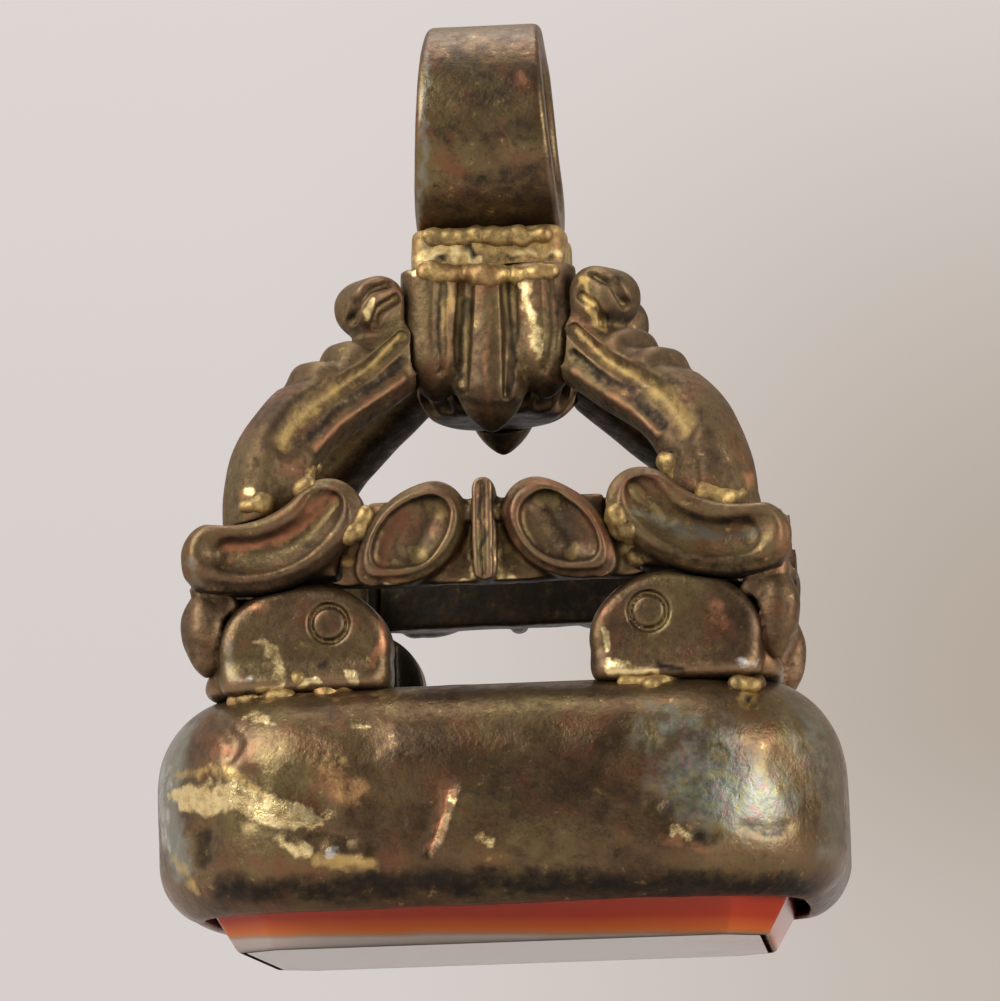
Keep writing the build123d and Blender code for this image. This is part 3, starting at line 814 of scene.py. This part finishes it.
PETAL_TINTS = (
    ("rust_and_highlight", ((384, 566), (388, 540), (404, 508)), (13, 14, 12), 0.75),
    ("rust_and_highlight", ((528, 484), (566, 486), (600, 526), (612, 556)), (12, 13, 13, 11), 0.75),
    ("copper_and_highlight", ((385, 578), (420, 580), (455, 562)), (8, 9, 8), 0.6),
    ("copper_and_highlight", ((514, 542), (532, 560), (552, 569)), (8, 9, 8), 0.6),
    ("dirt", ((418, 551), (427, 526), (441, 499)), (15, 18, 13), 0.42),
    ("dirt", ((540, 494), (561, 522), (578, 547)), (13, 18, 15), 0.42),
    ("bloom_and_sheen", ((432, 500), (426, 540)), (14, 14), 0.4),
    ("bloom_and_sheen", ((548, 500), (568, 536)), (14, 14), 0.4),
    ("foil_and_highlight", ((388, 588), (430, 592), (470, 580)), (6, 8, 7), 0.5),
    ("foil_and_highlight", ((510, 576), (545, 590), (582, 592)), (8, 10, 8), 0.6),
    ("foil_and_highlight", ((470, 545), (474, 578)), (6, 8), 0.5),
    ("foil_and_highlight", ((500, 540), (503, 578)), (6, 8), 0.5),
    # Painted shade: the lower strip of the band, over the shadowed underside of the cage, is painted dark
    ("dirt", ((380, 612), (480, 614), (590, 614)), (16, 18, 16), 0.8),
    ("dirt", ((481, 486), (482, 560)), (6, 6), 0.8),
    ("dirt", ((497, 486), (497, 560)), (6, 6), 0.8),
)
FOOT_TINTS = (
    ("foil_and_highlight", ((264, 642), (276, 650), (284, 686)), (10, 12, 6), 0.6),
    ("copper_and_highlight", ((380, 615), (388, 640), (370, 668)), (10, 11, 10), 0.8),
    ("copper_and_highlight", spot(262, 607), (14,), 0.8),
    ("bare_and_sheen", spot(250, 678), (14,), 0.6),
    ("foil_and_highlight", ((262, 690), (284, 691)), (8, 8), 0.7),
    ("foil_and_highlight", ((306, 686), (320, 684)), (7, 7), 0.7),
    ("foil_and_highlight", spot(350, 678), (9,), 0.7),
    ("dirt", spot(327, 668), (13,), 1.0),
    ("dirt", spot(322, 625), (22,), 0.55),
    ("foil_and_highlight", ((610, 668), (632, 670), (654, 674)), (11, 13, 9), 0.65),
    ("foil_and_highlight", ((604, 630), (609, 650)), (10, 10), 0.6),
    ("copper_and_highlight", ((708, 612), (718, 628)), (19, 17), 0.6),
    ("dirt", ((662, 668), (684, 670)), (10, 9), 0.9),
    ("bare_and_sheen", ((738, 664), (754, 666)), (9, 9), 0.55),
    ("foil_and_highlight", ((750, 684), (764, 680)), (8, 8), 0.8),
    ("dirt", spot(648, 612), (19,), 0.55),
    ("bloom_and_sheen", ((230, 640), (236, 676)), (14, 14), 0.55),
    ("rust_and_highlight", ((690, 600), (740, 640)), (26, 26), 0.4),
)
COLLET_DENTS = (
    (((228, 768), (233, 798), (230, 824)), (12, 11, 10), -0.10),
    (((250, 772), (254, 800), (248, 822)), (12, 13, 11), 0.09),
    (((296, 788), (322, 808)), (26, 20), 0.12),
    (((206, 834), (204, 866)), (18, 18), 0.16),
    (((186, 835), (182, 865)), (9, 9), -0.08),
    (((448, 785), (440, 815), (428, 850)), (9, 10, 9), 0.16),
    (((462, 790), (454, 820), (442, 850)), (9, 10, 8), -0.06),
    (spot(333, 853), (16,), -0.14),
    (((285, 842), (312, 852)), (12, 12), -0.08),
    (((346, 838), (322, 832)), (12, 10), 0.14),
    (spot(365, 862), (13,), -0.09),
    (((515, 846), (540, 856), (556, 842)), (12, 12, 12), 0.09),
    (((575, 850), (600, 860), (622, 844)), (12, 12, 12), 0.09),
    (spot(700, 832), (18,), 0.18),
    (spot(652, 800), (18,), 0.13),
    (((742, 828), (764, 830), (788, 827)), (7, 8, 7), 0.07),
    (spot(750, 700), (12,), 0.18),
    (((690, 760), (720, 780)), (36, 40), 0.09),
    (((340, 720), (372, 740)), (26, 28), 0.09),
    (((560, 740), (600, 760)), (32, 30), 0.07),
    (((790, 760), (805, 800)), (28, 24), 0.09),
    (((215, 720), (236, 740), (228, 765)), (10, 11, 9), 0.12),
)
COLLET_TINTS = (
    ("foil_and_highlight", ((178, 797), (206, 800), (236, 797)), (18, 28, 20), 0.95),
    ("foil_and_highlight", ((244, 803), (280, 812), (318, 822)), (24, 26, 16), 0.95),
    ("bright", ((170, 775), (215, 772), (262, 792)), (10, 14, 14), 0.6),
    # Partly painted highlight: rubbed copper and gold, painted lighter as the soft pink-gold highlight that
    # the key light makes there
    ("copper_and_highlight", ((328, 778), (352, 790)), (38, 32), 0.7),
    ("bright", ((330, 765), (352, 790)), (34, 30), 0.48),
    ("bare_and_sheen", spot(333, 852), (15,), 0.7),
    ("foil_and_highlight", ((286, 846), (306, 852)), (12, 12), 0.65),
    ("bright", ((320, 858), (372, 864)), (14, 14), 0.8),
    # Partly painted highlight: copper along a raised crease, painted as the bright pink line that the crease
    # catches
    ("copper_and_highlight", ((448, 792), (440, 820), (430, 848)), (9, 10, 9), 0.8),
    ("foil_and_highlight", ((480, 836), (492, 841)), (9, 9), 0.75),
    ("foil_and_highlight", spot(455, 798), (9,), 0.75),
    ("foil_and_highlight", ((352, 722), (368, 728)), (8, 8), 0.5),
    ("foil_and_highlight", ((252, 718), (268, 722)), (9, 9), 0.6),
    ("foil_and_highlight", ((672, 828), (690, 835)), (9, 9), 0.8),
    ("copper_and_highlight", ((664, 836), (706, 846)), (12, 12), 0.6),
    ("film", ((690, 780), (725, 790), (760, 800)), (70, 80, 66), 0.9),
    ("film", ((660, 728), (720, 740)), (52, 52), 0.65),
    ("film", ((800, 720), (820, 780)), (40, 40), 0.55),
    ("dirt", spot(700, 832), (17,), 0.8),
    ("dirt", ((640, 790), (668, 812)), (24, 20), 0.6),
    ("dirt", ((744, 829), (764, 831), (786, 828)), (7, 8, 7), 0.7),
    ("bloom_and_sheen", ((815, 720), (836, 775), (832, 850)), (38, 36, 30), 0.7),
    ("bright", spot(750, 700), (17,), 0.8),
    ("dirt", spot(750, 700), (10,), 1.0),
    # Painted reflection: the lower rim faces down and mirrors the dark surroundings, painted here as a dark
    # band
    ("dirt", ((225, 890), (500, 882), (800, 888)), (28, 32, 26), 0.85),
    # Painted reflection: the middle of the front is darkened where it mirrors the dim surroundings in front
    ("dirt", ((440, 740), (520, 790), (610, 790)), (50, 80, 60), 0.55),
    ("dirt", ((206, 836), (204, 864)), (15, 15), 0.8),
    ("rust_and_highlight", ((205, 738), (228, 750)), (20, 18), 0.7),
    ("rust_and_highlight", ((250, 860), (330, 872)), (16, 16), 0.6),
    # Painted reflection: the left end turns to the side and mirrors the pale surround, painted here in
    # grey-green and silver
    ("bloom_and_sheen", ((176, 726), (168, 800), (180, 868)), (30, 26, 24), 1.1),
    ("bare_and_sheen", ((164, 745), (160, 800), (168, 850)), (16, 15, 14), 0.55),
    ("bright", ((176, 860), (198, 895)), (9, 9), 0.6),
    ("bright", ((240, 700), (300, 698), (420, 694)), (7, 7, 6), 0.5),
)

# Joints that were filled with solder
SOLDER_LINES = (
    ((612, 508), (616, 524), (624, 544), (640, 562)),
    ((366, 512), (360, 532), (354, 548), (346, 562)),
    ((664, 456), (672, 470), (686, 482), (706, 493), (729, 498), (744, 494)),
    ((318, 470), (300, 488), (268, 502), (242, 507)),
    ((226, 696), (252, 692), (286, 690)),
    ((296, 688), (330, 685)),
    ((338, 682), (368, 679)),
    ((604, 672), (654, 678)),
    ((662, 673), (688, 671)),
    ((734, 674), (756, 678), (770, 676)),
    ((424, 271), (490, 275), (556, 272)),
    ((428, 237), (490, 235), (544, 236)),
)

# Beads of solder: pixels between them and off the line, and how deep they sit and how they vary, by radius
SOLDER_STEP = 2.5
SOLDER_SPREAD = 3.0
SOLDER_SINK = 0.68
SOLDER_VARIETY = 0.5

# Arms lie in upright planes through the axis of the seal: a bend, then a straight run up to the crown
ARM_PLACE = np.array((8.1, 5.95))
ARM_OUT = ARM_PLACE / np.linalg.norm(ARM_PLACE)
ARM_BEND_RADIUS = 4.5
ARM_BEND_MIDDLE = np.array((np.linalg.norm(ARM_PLACE) - ARM_BEND_RADIUS, 15.8))
ARM_TURN = math.radians(58.0)


def dots(flat, places, radius):
    """Round bumps of height 1 at places on a flat view."""
    return sum(bump_shape(np.linalg.norm(flat - place, axis=1), radius) for place in places)


def arm_line(*stops):
    """Line on an arm, as reach and height in millimetres.

    Each stop gives how far it lies up the straight run, or down the bend below zero, and how far outside
    the arm's middle line.
    """
    across = np.array((math.cos(ARM_TURN), math.sin(ARM_TURN)))
    run = np.array((-across[1], across[0]))
    line = []
    for way, out in stops:
        if way < 0.0:
            turn = ARM_TURN + way / ARM_BEND_RADIUS
            across_here = np.array((math.cos(turn), math.sin(turn)))
            line.append(ARM_BEND_MIDDLE + (ARM_BEND_RADIUS + out) * across_here)
        else:
            line.append(ARM_BEND_MIDDLE + (ARM_BEND_RADIUS + out) * across + way * run)
    return line


ARM_FILL = arm_line((4.5, 0.0), (2.0, 0.0), (0.0, 0.0), (-1.5, 0.0), (-3.0, 0.0), (-4.4, 0.0))
ARM_CHANNEL = arm_line((4.2, 0.75), (2.2, 0.45), (0.6, 0.45), (-0.8, 0.5), (-2.2, 0.55))
ARM_CHANNEL_WIDTHS = (0.3, 0.4, 0.55, 0.8, 0.9)
ARM_GROOVE = arm_line((3.6, 0.0), (1.5, -0.1), (0.0, -0.15), (-1.6, -0.2))
ARM_RIDGE = arm_line((3.2, -0.55), (1.3, -0.6), (-0.2, -0.6), (-1.8, -0.55))
ARM_RIM = arm_line((3.0, 1.15), (1.0, 1.1), (-1.0, 1.2), (-3.0, 1.25))
ARM_LEAVES = arm_line((2.3, 1.55), (0.7, 1.6))
ARM_LEAF_RADIUS = 0.8
ARM_LEAF_RISE = 0.35
ARM_NOTCHES = arm_line((1.5, 1.7), (-0.1, 1.75))
ARM_NOTCH_RADIUS = 0.5
ARM_NOTCH_DEPTH = 0.2
ARM_OUTER_RISE = 0.7

# Crescent hollow of a knee, in a front and a side view
KNEE_HOLLOW_FRONT = ((5.3, 15.9), (6.4, 14.7), (8.0, 14.2), (9.7, 14.25))
KNEE_HOLLOW_SIDE = ((3.9, 15.2), (4.7, 14.3), (6.0, 13.8), (7.4, 13.7))
KNEE_HOLLOW_WIDTHS = (0.35, 0.6, 0.85, 0.75)
KNEE_HOLLOW_FRONT_DEPTH = 0.22
KNEE_HOLLOW_SIDE_DEPTH = 0.18

# Feet spread onto the deck, and drops are bedded in the solder of the knees
DECK_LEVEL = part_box("collet")[1][2] * TO_MM
FOOT_FLARE = 0.35
FOOT_FLARE_HEIGHT = 1.0
DROP_BEDDING = 0.5

# Ring punched into a foot, in a front and a side view
FOOT_RING_FRONT = (5.7, 11.5)
FOOT_RING_SIDE = (5.1, 11.5)
FOOT_RING_RADIUS = 0.66
FOOT_RING_LINE = 0.16


class SEAL_OT_stone(bpy.types.Operator):
    """Polishes the layered stone"""

    bl_idname = "fob_seal.stone"
    bl_label = "Seal stone"

    def execute(self, context):
        skin = Skin.of_node("seal_stone", sizes().stone_grain)
        skin.wear(passes=2)
        skin.into_piece("agate_seal_stone", agate(), "agate", ["seal_stone"])
        return {"FINISHED"}


class SEAL_OT_cement(bpy.types.Operator):
    """Fills the setting behind the stone with rough pitch"""

    bl_idname = "fob_seal.cement"
    bl_label = "Setting cement"

    def execute(self, context):
        skin = Skin.of_node("setting_cement", sizes().pitch_grain)
        skin.pillow(sizes().collet_belly)
        skin.roughen(depth=0.04, spacing=0.9, seed=3)
        skin.into_piece("pitch_bed", pitch(), "pitch", ["setting_cement"])
        return {"FINISHED"}


class SEAL_OT_collet(bpy.types.Operator):
    """Dents and tarnishes the bulged collet and its deck"""

    bl_idname = "fob_seal.collet"
    bl_label = "Collet"

    def execute(self, context):
        metal = old_bronze("collet_metal", dullness=0.36)
        skin = Skin.of_node("collet", sizes().collet_grain)
        skin.pillow(sizes().collet_belly)
        skin.wear(passes=3)
        skin.roughen(depth=0.07, spacing=4.5, seed=11)
        skin.roughen(depth=0.025, spacing=1.3, seed=12)
        skin.relief(passes=20, span=0.05)
        skin.strike(COLLET_DENTS)
        skin.tint(COLLET_TINTS)
        skin.into_worn_piece(metal, "collet_brass")
        deck = Skin.of_node("deck_plate", sizes().collet_grain)
        deck.relief(passes=20, span=0.05)
        deck.into_worn_piece(metal, "collet_brass")
        return {"FINISHED"}


class SEAL_OT_feet(bpy.types.Operator):
    """Wears the foot scrolls and punches their rings"""

    bl_idname = "fob_seal.feet"
    bl_label = "Foot scrolls"

    def execute(self, context):
        metal = old_bronze("foot_metal", dullness=0.42)
        for seed, (corner, (right, back)) in enumerate(CORNERS.items(), start=20):
            skin = Skin.of_node(f"foot_scroll_{corner}")
            skin.wear(sizes().edge_wear)
            skin.roughen(depth=0.05, spacing=1.6, seed=seed)
            above_deck = skin.points[:, 2] - DECK_LEVEL
            skin.swell(FOOT_FLARE * rise(above_deck, FOOT_FLARE_HEIGHT, 0.0))
            rings = (FOOT_RING_FRONT, FOOT_RING_SIDE)
            for (flat, toward), middle in zip(skin.views(right, back), rings):
                around = np.linalg.norm(flat - np.array(middle), axis=1)
                cut = bump_shape(around - FOOT_RING_RADIUS, FOOT_RING_LINE) * skin.facing(toward)
                skin.points = skin.points - sizes().ring_depth * TO_MM * cut[:, None] * toward
            skin.relief(passes=14, span=0.06)
            skin.tint(FOOT_TINTS)
            skin.paint_inner_shade()
            skin.into_worn_piece(metal, "cage_brass")
        return {"FINISHED"}


class SEAL_OT_knees(bpy.types.Operator):
    """Wears the knee scrolls and deepens their crescent hollows"""

    bl_idname = "fob_seal.knees"
    bl_label = "Knee scrolls"

    def execute(self, context):
        metal = old_bronze("knee_metal", dullness=0.50)
        lines = (KNEE_HOLLOW_FRONT, KNEE_HOLLOW_SIDE)
        depths = (KNEE_HOLLOW_FRONT_DEPTH, KNEE_HOLLOW_SIDE_DEPTH)
        for seed, (corner, (right, back)) in enumerate(CORNERS.items(), start=30):
            skin = Skin.of_node(f"knee_scroll_{corner}")
            skin.wear(2 * sizes().edge_wear)
            for (flat, toward), line, depth in zip(skin.views(right, back), lines, depths):
                skin.press(flat, toward, line, KNEE_HOLLOW_WIDTHS, depth)
            skin.wear(sizes().edge_wear // 2)
            skin.roughen(depth=0.05, spacing=1.5, seed=seed)
            skin.relief(passes=24, span=0.07)
            skin.tint(KNEE_TINTS)
            skin.paint_inner_shade()
            skin.into_worn_piece(metal, "cage_brass")
        return {"FINISHED"}


class SEAL_OT_arms(bpy.types.Operator):
    """Wears the arms and presses their channels, ridges and leaves"""

    bl_idname = "fob_seal.arms"
    bl_label = "Arms"

    def execute(self, context):
        metal = old_bronze("arm_metal", dullness=0.60)
        for seed, (corner, (right, back)) in enumerate(CORNERS.items(), start=40):
            skin = Skin.of_node(f"arm_{corner}")
            skin.wear(sizes().edge_wear)
            outward = ARM_OUT * (right, back)
            reach = skin.points[:, :2] @ outward
            flat = np.stack((reach, skin.points[:, 2]), axis=1)
            across = np.array((-outward[1], outward[0], 0.0))
            for side in (across, -across):
                skin.press(flat, side, ARM_FILL, widths=(0.85,), depth=-0.32)
                skin.press(flat, side, ARM_CHANNEL, ARM_CHANNEL_WIDTHS, depth=0.3)
                skin.press(flat, side, ARM_GROOVE, widths=(0.25, 0.3), depth=0.1)
                skin.press(flat, side, ARM_RIDGE, widths=(0.45, 0.4), depth=-0.14)
                skin.dye("bright", flat, side, ARM_CHANNEL, ARM_CHANNEL_WIDTHS, strength=0.55)
                skin.dye("dirt", flat, side, ARM_GROOVE, widths=(0.3, 0.35), strength=0.8)
                skin.dye("copper_and_highlight", flat, side, ARM_RIDGE, widths=(0.35, 0.4), strength=0.6)
                skin.dye("dirt", flat, side, ARM_RIM, widths=(0.4, 0.5), strength=0.45)
            outer = np.array((*outward, ARM_OUTER_RISE)) / math.hypot(1.0, ARM_OUTER_RISE)
            leaves = ARM_LEAF_RISE * dots(flat, ARM_LEAVES, ARM_LEAF_RADIUS)
            notches = ARM_NOTCH_DEPTH * dots(flat, ARM_NOTCHES, ARM_NOTCH_RADIUS)
            skin.swell((leaves - notches) * skin.facing(outer))
            skin.strike(ARM_DENTS, GROOVE_WANDER)
            skin.roughen(depth=0.05, spacing=1.4, seed=seed)
            skin.relief(passes=24, span=0.07)
            skin.tint(ARM_TINTS)
            skin.paint_inner_shade()
            skin.into_worn_piece(metal, "cage_brass")
        return {"FINISHED"}


class SEAL_OT_drops(bpy.types.Operator):
    """Wears the leaf drops at the outer corners"""

    bl_idname = "fob_seal.drops"
    bl_label = "Leaf drops"

    def execute(self, context):
        tone = colours()
        metal = worn_gilt("drop_metal", tone.bronze, tone.umber, tone.blush, dullness=0.50)
        for seed, (corner, (right, back)) in enumerate(CORNERS.items(), start=50):
            skin = Skin.of_node(f"leaf_drop_{corner}")
            skin.wear(sizes().edge_wear // 2)
            inward = -(right * RIGHT + back * BACK) / math.sqrt(2.0)
            skin.swell(DROP_BEDDING * skin.facing((inward + UP) / math.sqrt(2.0)))
            skin.roughen(depth=0.08, spacing=0.8, seed=seed)
            skin.relief(passes=14, span=0.06)
            skin.into_worn_piece(metal, "cage_brass")
        return {"FINISHED"}


class SEAL_OT_bands(bpy.types.Operator):
    """Wears the bands of petals between the knees and reeds their bars"""

    bl_idname = "fob_seal.bands"
    bl_label = "Petal bands"

    def execute(self, context):
        metal = old_bronze("band_metal", dullness=0.50)
        for seed, side in enumerate(("front", "back", "left", "right"), start=60):
            in_photo = side in ("front", "back")
            skin = Skin.of_node(f"{side}_band")
            skin.wear(sizes().edge_wear)
            skin.roughen(depth=0.04, spacing=1.3, seed=seed)
            if in_photo:
                skin.strike(PETAL_DENTS, GROOVE_WANDER)
            skin.relief(passes=24, span=0.07)
            if in_photo:
                skin.tint(PETAL_TINTS)
            skin.paint_inner_shade()
            skin.into_worn_piece(metal, "cage_brass")
        return {"FINISHED"}


class SEAL_OT_crown(bpy.types.Operator):
    """Wears the crown and its two palmettes"""

    bl_idname = "fob_seal.crown"
    bl_label = "Crown"

    def execute(self, context):
        metal = old_bronze("crown_metal", dullness=0.52)
        for seed, node in enumerate(("crown", "front_palmette", "back_palmette"), start=70):
            skin = Skin.of_node(node)
            skin.wear(sizes().edge_wear // 2)
            skin.strike(CROWN_DENTS, GROOVE_WANDER)
            skin.roughen(depth=0.04, spacing=1.2, seed=seed)
            skin.relief(passes=20, span=0.07)
            skin.tint(CROWN_TINTS)
            skin.paint_inner_shade()
            skin.into_worn_piece(metal, "cage_brass")
        return {"FINISHED"}


class SEAL_OT_collar(bpy.types.Operator):
    """Wears the collar under the loop"""

    bl_idname = "fob_seal.collar"
    bl_label = "Loop collar"

    def execute(self, context):
        tone = colours()
        metal = worn_gilt("collar_metal", tone.gilt, tone.bronze, tone.verdigris_and_sheen, dullness=0.58)
        skin = Skin.of_node("loop_collar")
        skin.wear(sizes().edge_wear)
        skin.roughen(depth=0.10, spacing=1.1, seed=80)
        skin.relief(passes=20, span=0.07)
        skin.tint(COLLAR_TINTS)
        skin.into_worn_piece(metal, "cage_brass")
        return {"FINISHED"}


class SEAL_OT_loop(bpy.types.Operator):
    """Wears the suspension loop"""

    bl_idname = "fob_seal.loop"
    bl_label = "Suspension loop"

    def execute(self, context):
        metal = old_bronze("loop_metal", dullness=0.42)
        skin = Skin.of_node("suspension_loop")
        skin.wear(sizes().edge_wear // 2)
        skin.roughen(depth=0.04, spacing=2.2, seed=90)
        skin.relief(passes=20, span=0.07)
        skin.tint(LOOP_TINTS)
        skin.into_worn_piece(metal, "loop_brass")
        return {"FINISHED"}


class SEAL_OT_solder(bpy.types.Operator):
    """Fills the joints of the cage with lumpy gilt solder"""

    bl_idname = "fob_seal.solder"
    bl_label = "Solder"

    def execute(self, context):
        tone = colours()
        metal = worn_gilt("solder_metal", tone.gilt, tone.bronze, tone.umber, dullness=0.52)
        places = self.find_joints()
        for side, turn in (("front", 0.0), ("back", math.pi)):
            shape = bmesh.new()
            for number, (place, into_metal) in enumerate(places):
                radius = sizes().solder_radius * (1.0 + SOLDER_VARIETY * chance(number, seed=17))
                sunk = Matrix.Translation(place + SOLDER_SINK * radius * into_metal)
                turned = Matrix.Rotation(turn, 4, "Z") @ sunk
                bmesh.ops.create_icosphere(shape, subdivisions=2, radius=radius, matrix=turned)
            skin = Skin(shape, sizes().solder_grain)
            skin.wear(sizes().edge_wear)
            skin.relief(passes=8, span=0.05)
            skin.into_piece(f"gilt_solder_{side}", metal, "cage_brass")
        return {"FINISHED"}

    def find_joints(self):
        """Points of the joints on the metal, where the photograph shows them, and the way into the metal."""
        metal = bmesh.new()
        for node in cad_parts.values():
            metal.from_mesh(node.data)
        tree = BVHTree.FromBMesh(metal)
        metal.free()
        places = []
        for line in SOLDER_LINES:
            line = np.array(line, float)
            spans = np.concatenate(([0.0], np.cumsum(np.linalg.norm(np.diff(line, axis=0), axis=1))))
            stops = np.arange(0.0, spans[-1], SOLDER_STEP)
            across = np.interp(stops, spans, line[:, 0])
            down = np.interp(stops, spans, line[:, 1])
            for pixel in zip(across, down):
                number = len(places)
                off_line = np.array((chance(number, seed=3), chance(number, seed=4)))
                pixel = np.array(pixel) + SOLDER_SPREAD * off_line
                start, inward = sight(pixel)
                found, normal, _, _ = tree.ray_cast(start, inward)
                if found is None or found.y > 0.0:
                    raise RuntimeError(f"No joint of the front is seen at pixel {pixel}")
                into_metal = -normal if normal.dot(inward) < 0.0 else normal
                places.append((found, into_metal))
        return places


# Half the width of the floor and the spacing of its fibres, in metres, and how much lighter these are
FLOOR_REACH = 3.0
FIBRE_SPACING = 0.004
FIBRE_LIGHT = 1.04

# Lamps: place and width in metres, and power in watts
LAMPS = {
    "key": ((-0.16, -0.14, 0.15), 0.18, 0.75),
    "fill": ((0.20, -0.10, 0.06), 0.14, 0.40),
    "top": ((0.0, 0.05, 0.25), 0.16, 0.35),
}

# Light of the surround, as shares: behind the camera, low at the back, and what its foot gets back
BEHIND_CAMERA = 0.12
LOW_AT_BACK = 0.925
LIT_FOOT = 0.35


class SEAL_OT_stage(bpy.types.Operator):
    """Sets the paper floor, the light and the camera"""

    bl_idname = "fob_seal.stage"
    bl_label = "Stage"

    def execute(self, context):
        tone = colours()
        scene = context.scene
        scene.view_settings.view_transform = "Standard"
        self.lay_floor(scene, tone)
        self.hang_lamps(scene)
        self.paint_surround(scene, tone)
        self.place_camera(scene)
        return {"FINISHED"}

    def lay_floor(self, scene, tone):
        """Sheet of paper that is seen from above only, since the camera stands lower than it."""
        shape = bmesh.new()
        bmesh.ops.create_grid(shape, x_segments=1, y_segments=1, size=FLOOR_REACH)
        mesh = bpy.data.meshes.new("paper_floor")
        shape.to_mesh(mesh)
        shape.free()
        material, tree, shader, place = new_material("paper")
        fibre = speckle(tree, place, FIBRE_SPACING)
        light = tuple(min(1.0, part * FIBRE_LIGHT) for part in tone.paper)
        sheet = shaded(tree, fibre, ((0.3, tone.paper), (0.7, light)))
        join(tree, shader, {"Base Color": sheet, "Roughness": 0.9})
        clear = tree.nodes.new("ShaderNodeBsdfTransparent").outputs[0]
        below = tree.nodes.new("ShaderNodeNewGeometry").outputs["Backfacing"]
        sides = shader_node(tree, "ShaderNodeMixShader", {0: below, 1: shader.outputs[0], 2: clear})
        join(tree, tree.nodes["Material Output"], {"Surface": sides.outputs[0]})
        mesh.materials.append(material)
        floor = bpy.data.objects.new("paper_floor", mesh)
        scene.collection.objects.link(floor)

    def hang_lamps(self, scene):
        """Window-like key at the upper left, a weak fill at the right and one from above."""
        middle = Vector((0.0, 0.0, sizes().view_height))
        for name, (place, width, power) in LAMPS.items():
            lamp = bpy.data.lights.new(name, "AREA")
            lamp.size = width
            lamp.energy = power
            stand = bpy.data.objects.new(name, lamp)
            stand.location = Vector(place)
            stand.rotation_euler = (middle - stand.location).to_track_quat("-Z", "Y").to_euler()
            scene.collection.objects.link(stand)

    def paint_surround(self, scene, tone):
        """Pale surround that the camera and the metal see, darker at the right, over a weaker even light."""
        world = bpy.data.worlds.new("surround")
        world.use_nodes = True
        scene.world = world
        tree = world.node_tree
        rays = tree.nodes.new("ShaderNodeLightPath").outputs
        direct = math_node(tree, "ADD", rays["Is Camera Ray"], rays["Is Transmission Ray"])
        toward = tree.nodes.new("ShaderNodeTexCoord").outputs["Generated"]
        parts = shader_node(tree, "ShaderNodeSeparateXYZ", {0: toward}).outputs
        right = step_node(tree, parts["X"], low=-0.12, high=0.04)
        under = step_node(tree, parts["Z"], low=0.27, high=0.10)
        foot = step_node(tree, parts["Z"], low=0.10, high=0.05)
        faded = tuple(LOW_AT_BACK * part for part in tone.backdrop_light)
        backdrop = blend(tree, under, tone.backdrop_light, faded)
        shade = math_node(tree, "MULTIPLY", right, under)
        shade = math_node(tree, "MULTIPLY", shade, math_node(tree, "MULTIPLY_ADD", foot, -LIT_FOOT, 1.0))
        backdrop = blend(tree, shade, backdrop, tone.backdrop_shade)
        wide = step_node(tree, parts["X"], low=-0.7, high=0.9)
        around = blend(tree, wide, tone.backdrop_light, tone.backdrop_shade)
        dim = tuple(BEHIND_CAMERA * part for part in tone.backdrop_light)
        around = blend(tree, step_node(tree, parts["Y"], low=-0.8, high=0.2), dim, around)
        light = blend(tree, rays["Is Glossy Ray"], tone.even_light, around)
        join(tree, tree.nodes["Background"], {"Color": blend(tree, direct, light, backdrop), "Strength": 1.0})

    def place_camera(self, scene):
        """Camera at the photograph's angle, a little below the seal's middle."""
        camera = bpy.data.objects.new("camera", bpy.data.cameras.new("camera"))
        camera.data.lens = sizes().lens
        camera.data.sensor_width = SENSOR_WIDTH
        camera.data.sensor_fit = "HORIZONTAL"
        camera.data.clip_start = 0.01
        camera.matrix_world = camera_pose()
        scene.collection.objects.link(camera)
        scene.camera = camera


class SEAL_PT_panel(bpy.types.Panel):
    """Lists the pieces of the seal"""

    bl_label = "Fob seal"
    bl_idname = "SEAL_PT_panel"
    bl_space_type = "VIEW_3D"
    bl_region_type = "UI"
    bl_category = "Fob seal"

    def draw(self, context):
        for operator in OPERATORS:
            self.layout.operator(operator.bl_idname)
        for group in (sizes(), colours()):
            box = self.layout.box()
            for name in group.__annotations__:
                box.prop(group, name)


OPERATORS = (
    SEAL_OT_stone,
    SEAL_OT_cement,
    SEAL_OT_collet,
    SEAL_OT_feet,
    SEAL_OT_knees,
    SEAL_OT_arms,
    SEAL_OT_drops,
    SEAL_OT_bands,
    SEAL_OT_crown,
    SEAL_OT_collar,
    SEAL_OT_loop,
    SEAL_OT_solder,
    SEAL_OT_stage,
)
CLASSES = (SealSizes, SealColours, *OPERATORS, SEAL_PT_panel)


def register():
    for made in CLASSES:
        bpy.utils.register_class(made)
    bpy.types.Scene.fob_seal_sizes = PointerProperty(type=SealSizes)
    bpy.types.Scene.fob_seal_colours = PointerProperty(type=SealColours)


def unregister():
    del bpy.types.Scene.fob_seal_colours
    del bpy.types.Scene.fob_seal_sizes
    for made in reversed(CLASSES):
        bpy.utils.unregister_class(made)


def main():
    register()
    for operator in OPERATORS:
        group, name = operator.bl_idname.split(".")
        getattr(getattr(bpy.ops, group), name)()


if __name__ == "__main__":
    main()
